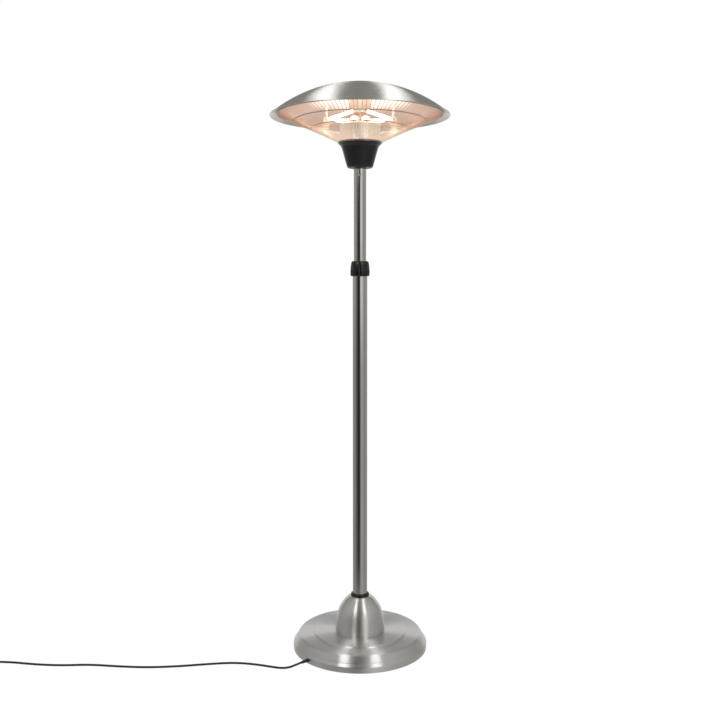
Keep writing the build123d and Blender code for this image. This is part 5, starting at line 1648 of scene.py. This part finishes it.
# ---------------------------------------------------------------- head
@dataclass(frozen=True)
class LampHead:
    """Dome, reflector, can, column and the three halogen lamps."""

    rim_z: float = 1811.0
    rim_radius: float = 300.0
    dome_height: float = 108.0
    sheet: float = 1.0
    hem: float = 1.6
    reflector_radius: float = 268.0
    reflector_gap: float = 7.0
    reflector_sheet: float = 0.8
    can_radius: float = 68.0
    can_span: tuple[float, float] = (1725.5, 1785.5)
    column_radius: float = 38.0
    lamp_offset: float = 72.0
    glass_length: float = 176.0
    glass_radius: float = 5.0
    cap_radius: float = 6.5
    cap_length: float = 16.0
    filament_turns: float = 150.0
    glow_watts: float = 0.7

    @property
    def sphere(self) -> float:
        """Radius of the dome's sphere, in millimetres."""
        return (self.rim_radius**2 + self.dome_height**2) / (2 * self.dome_height)

    @property
    def crown(self) -> float:
        """Height of the dome's crown, in millimetres."""
        return self.rim_z + self.dome_height

    def cap(self, shop: Workshop, inset: float, low: float, high: float, inside: bool, finish: str) -> Mesh:
        """Grow one skin of a spherical cap.

        Args:
            shop: Runs the tree.
            inset: How far it lies inside the dome's sphere.
            low: Radius of its opening, from the axis.
            high: Radius of its rim, from the axis.
            inside: Whether its faces look at the lamps.
            finish: Name of the finish.

        Returns:
            The skin's mesh.
        """
        sphere = self.sphere - inset
        values = {
            "Sphere Radius": sphere * MM,
            "Crown Height": (self.crown - inset) * MM,
            "Inner Angle": math.asin(low / sphere),
            "Outer Angle": math.asin(high / sphere),
            "Inside": inside,
        }
        return shop.grow(shop.trees.cap, values, finish)

    @staticmethod
    def closed(outer: Mesh, inner: Mesh, name: str) -> Mesh:
        """Join two skins and bridge their open rims."""
        form = bmesh.new()
        form.from_mesh(outer)
        form.from_mesh(inner)
        rims = [e for e in form.edges if e.is_boundary]
        bmesh.ops.bridge_loops(form, edges=rims)
        mesh = bpy.data.meshes.new(name)
        form.to_mesh(mesh)
        form.free()
        return mesh

    def dome(self, shop: Workshop) -> None:
        """Make the dome's sheet and its rolled hem."""
        edge = self.rim_radius - 1.2
        outer = self.cap(shop, 0.0, 0.0, edge, False, "dome")
        inner = self.cap(shop, self.sheet, 0.0, edge - 0.9, True, "dome")
        shop.piece(
            "dome_skin", self.closed(outer, inner, "dome_skin"), "dome", Body.MAST, "dome_steel",
            ("dome_cover",), 60,
        )
        values = {
            "Radius": (self.rim_radius - self.hem) * MM, "Height": (self.rim_z + self.hem) * MM,
            "Thickness": self.hem * MM,
        }
        shop.piece(
            "dome_hem", shop.grow(shop.trees.hoop, values, "dome"), "dome", Body.MAST, "dome_steel",
            wear=False,
        )

    def reflector(self, shop: Workshop) -> None:
        """Make the polished reflector under the dome."""
        inset = self.sheet + self.reflector_gap
        outer = self.cap(shop, inset, 15.0, self.reflector_radius, False, "reflector")
        inner = self.cap(
            shop, inset + self.reflector_sheet, 15.0, self.reflector_radius - 0.4, True, "reflector"
        )
        shop.piece(
            "reflector_skin", self.closed(outer, inner, "reflector_skin"), "reflector", Body.MAST,
            "reflector", ("reflector",), 60,
        )

    def can(self, shop: Workshop) -> None:
        """Make the can round the foot of the column, with a rolled top edge."""
        r = self.can_radius
        low, high = self.can_span
        corners = [
            (r - 0.8, low, 0), (r + 0.8, low, 0.4), (r + 0.8, low + 1.6, 0.6), (r, low + 2.6, 0.8),
            (r, high - 4.0, 1.0), (r + 1.0, high - 3.0, 0.6),
            (r + 1.0, high - 0.6, 1.0), (r - 2.0, high, 1.0), (30.0, high, 0), (30.0, high - 0.8, 0),
            (r - 1.0, high - 0.8, 0.5), (r - 0.8, low + 3, 0),
        ]
        draft = Draft().spin(rounded(corners), 144)
        shop.piece("lamp_can_skin", draft, "can_steel", Body.MAST, "can_steel", ("lamp_can",), 50)

    def column(self, shop: Workshop) -> None:
        """Make the column between the can and the reflector."""
        r = self.column_radius
        low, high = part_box("column")[0][2] / MM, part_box("column")[1][2] / MM
        corners = [
            (r - 1, low, 0), (r + 1.6, low, 0.5), (r + 1.6, low + 1.0, 0.6), (r, low + 3.0, 1.4),
            (r, high, 0), (r - 1, high, 0),
        ]
        draft = Draft().spin(rounded(corners), 128)
        shop.piece("column_skin", draft, "column_steel", Body.MAST, "can_steel", ("column",), 50)

    def _three(self, shop: Workshop, part: Draft, finish: str) -> Mesh:
        """Set a part made along the Z axis in the places of the three lamps."""
        middle = Matrix.Translation((self.lamp_offset * MM, 0, self.rim_z * MM))
        first = Draft().add(part, middle @ Matrix.Rotation(math.pi / 2, 4, "X"))
        return shop.repeat(first, 3, 90.0, finish)

    def tubes(self, shop: Workshop) -> None:
        """Make three quartz tubes with pinched ends and a sealed nib."""
        half, r = self.glass_length / 2, self.glass_radius
        glass = [
            (0, -half + 1, 0), (1.6, -half + 1, 0.4), (r - 1.2, -half + 6, 2.0), (r, -half + 12, 4.0),
            (r, half - 12, 4.0), (r - 1.2, half - 6, 2.0), (1.6, half - 1, 0.4), (0, half - 1, 0),
        ]
        tube = Draft().spin(rounded(glass), 32)
        nib = Draft().spin(rounded([(0, -1.0, 0), (1.1, -1.0, 0), (0.8, 1.4, 0.6), (0, 1.7, 0)]), 16)
        tube.add(nib, Matrix.Translation((0, r * MM, 0)) @ Matrix.Rotation(-math.pi / 2, 4, "X"))
        mesh = self._three(shop, tube, "quartz")
        shop.piece("lamp_tubes", mesh, "quartz", Body.MAST, "quartz", ("lamp_glass",), wear=False)

    def end_caps(self, shop: Workshop) -> None:
        """Make the grooved ceramic caps at both ends of each tube."""
        half, c = self.glass_length / 2, self.cap_radius
        end = half + self.cap_length
        cap = [
            (0, half, 0), (c - 1.0, half, 0.4), (c, half + 1.0, 0.5), (c, half + 4.6, 0.3),
            (c - 0.8, half + 5.0, 0.2), (c - 0.8, half + 7.0, 0.2), (c, half + 7.4, 0.3),
            (c, end - 1.0, 0.8), (c - 1.4, end, 0.3), (0, end, 0),
        ]
        pair = Draft()
        for flip in (0.0, math.pi):
            pair.add(Draft().spin(rounded(cap), 40), Matrix.Rotation(flip, 4, "X"))
        mesh = self._three(shop, pair, "ceramic")
        shop.piece("lamp_end_caps", mesh, "ceramic", Body.MAST, "ceramic", ("lamp_caps",))

    def coils(self, shop: Workshop) -> None:
        """Wind the filaments."""
        length = self.glass_length - 26
        values = {
            "Turns": self.filament_turns, "Radius": 1.25 * MM, "Length": length * MM,
            "Thickness": 0.22 * MM,
        }
        coil = shop.grow(shop.trees.winding, values, "hot_wire")
        coil.transform(Matrix.Translation((0, 0, -length / 2 * MM)))
        one = Draft()
        one.verts = [v.co.copy() for v in coil.vertices]
        one.faces = [tuple(p.vertices) for p in coil.polygons]
        mesh = self._three(shop, one, "hot_wire")
        shop.piece("lamp_coils", mesh, "hot_wire", Body.MAST, "filament", ("lamp_filaments",), wear=False)

    def glow(self) -> None:
        """Hang a small warm light at each lamp, carried by the mast."""
        for k in range(3):
            data = bpy.data.lights.new(f"lamp_light_{k}", "POINT")
            data.color = (1.0, 0.62, 0.36)
            data.energy = self.glow_watts
            data.shadow_soft_size = 0.03
            light = bpy.data.objects.new(f"lamp_light_{k}", data)
            turn = math.radians(90 + 120 * k)
            reach = (self.lamp_offset + 14) * MM
            light.location = (reach * math.cos(turn), reach * math.sin(turn), (self.rim_z - 6) * MM)
            light.parent = frame["bodies"][Body.MAST.value]
            light.visible_glossy = False
            bpy.context.scene.collection.objects.link(light)

    def build(self, shop: Workshop) -> None:
        """Make all of the head."""
        self.dome(shop)
        self.reflector(shop)
        self.can(shop)
        self.column(shop)
        self.tubes(shop)
        self.end_caps(shop)
        self.coils(shop)
        self.glow()


# ---------------------------------------------------------------- guard
@dataclass(frozen=True)
class WireGuard:
    """Cone of radial wires under the dome, with the hoops that carry them."""

    inner_radius: float = 72.5
    inner_z: float = 1727.5
    bend_radius: float = 161.5
    bend_z: float = 1770.0
    outer_radius: float = 275.0
    outer_z: float = 1818.0
    middle_radius: float = 220.0
    wire: float = 1.0
    outer_hoop: float = 2.5
    middle_hoop: float = 1.5
    inner_hoop: float = 2.0
    count: int = 120

    def height(self, radius: float) -> float:
        """Height of the wires at a radius."""
        if radius < self.bend_radius:
            share = (radius - self.inner_radius) / (self.bend_radius - self.inner_radius)
            return self.inner_z + share * (self.bend_z - self.inner_z)
        share = (radius - self.bend_radius) / (self.outer_radius - self.bend_radius)
        return self.bend_z + share * (self.outer_z - self.bend_z)

    def fan(self, shop: Workshop) -> None:
        """Make the radial wires."""
        near = self.inner_radius + 1.2
        far = self.outer_radius - 1.4
        values = {
            "Near": (near * MM, 0.0, self.height(near) * MM),
            "Bend": (self.bend_radius * MM, 0.0, self.bend_z * MM),
            "Far": (far * MM, 0.0, self.height(far) * MM),
            "Thickness": self.wire * MM,
            "Count": self.count,
        }
        mesh = shop.grow(shop.trees.fan, values, "guard_wire")
        shop.piece("guard_fan", mesh, "guard_wire", Body.MAST, "guard_wire", ("guard_wires",), 60, False)

    def hoop(
        self, shop: Workshop, name: str, radius: float, thickness: float, node: str, on_wires: bool
    ) -> None:
        """Make one hoop.

        Args:
            shop: Makes the piece.
            name: Name of the piece.
            radius: Radius of the hoop.
            thickness: Radius of its wire.
            node: The CAD node that it replaces.
            on_wires: Whether it lies on the inner side of the wires.
        """
        z = self.height(radius)
        if on_wires:
            slope = math.atan2(self.height(radius + 1) - z, 1)
            lift = self.wire + thickness
            radius, z = radius - lift * math.sin(slope), z + lift * math.cos(slope)
        values = {"Radius": radius * MM, "Height": z * MM, "Thickness": thickness * MM}
        shop.piece(
            name, shop.grow(shop.trees.hoop, values, "guard_hoop"), "guard_hoop", Body.MAST,
            "guard_wire", (node,), 60, False,
        )

    def build(self, shop: Workshop) -> None:
        """Make the whole guard."""
        self.fan(shop)
        self.hoop(shop, "guard_rim_hoop", self.outer_radius, self.outer_hoop, "guard_outer_ring", False)
        self.hoop(shop, "guard_upper_hoop", self.middle_radius, self.middle_hoop, "guard_upper_ring", True)
        self.hoop(
            shop, "guard_lower_hoop", self.bend_radius + 2, self.middle_hoop, "guard_lower_ring", True
        )
        self.hoop(shop, "guard_foot_hoop", self.inner_radius, self.inner_hoop, "guard_inner_ring", False)


DRESSED_NODES = {
    "concrete": ("ballast_disc",),
    "zinc": (
        "bottom_plate", "pole_flange", "flange_bolts", "flange_washers", "flange_nuts", "hub_stem",
        "gland_nut",
    ),
    "screw_steel": (
        "foot_screws", "bush_rivets", "hub_screws", "knob_spindle", "dome_studs", "stud_nuts",
        "lamp_pins", "saddle_screws",
    ),
    "switch_black": ("lock_socket", "tilt_switch", "selector_switch"),
    "nylon": ("clamp_sleeve", "guide_bush", "cord_saddle"),
    "ceramic": ("terminal_block",),
    "plate_steel": ("column_flange", "guard_clips"),
    "silicone": ("column_leads", "lamp_leads"),
    "bracket_steel": ("lamp_brackets",),
    "cord_rubber": ("base_lead", "lead_coil", "mast_lead"),
}


def main() -> None:
    """Build the studio and every sub-assembly, then give the CAD nodes that stay their finishes."""
    logging.basicConfig(level=logging.INFO, format="%(name)s %(message)s")
    Studio().build()
    wardrobe = Wardrobe()
    shop = Workshop(wardrobe)
    for part in (MainsLead(), WeightedBase(), TelescopicPole(), Hub(), LampHead(), WireGuard()):
        part.build(shop)
    for finish, nodes in DRESSED_NODES.items():
        for node in nodes:
            wardrobe.dress_node(node, finish)


if __name__ == "__main__":
    main()
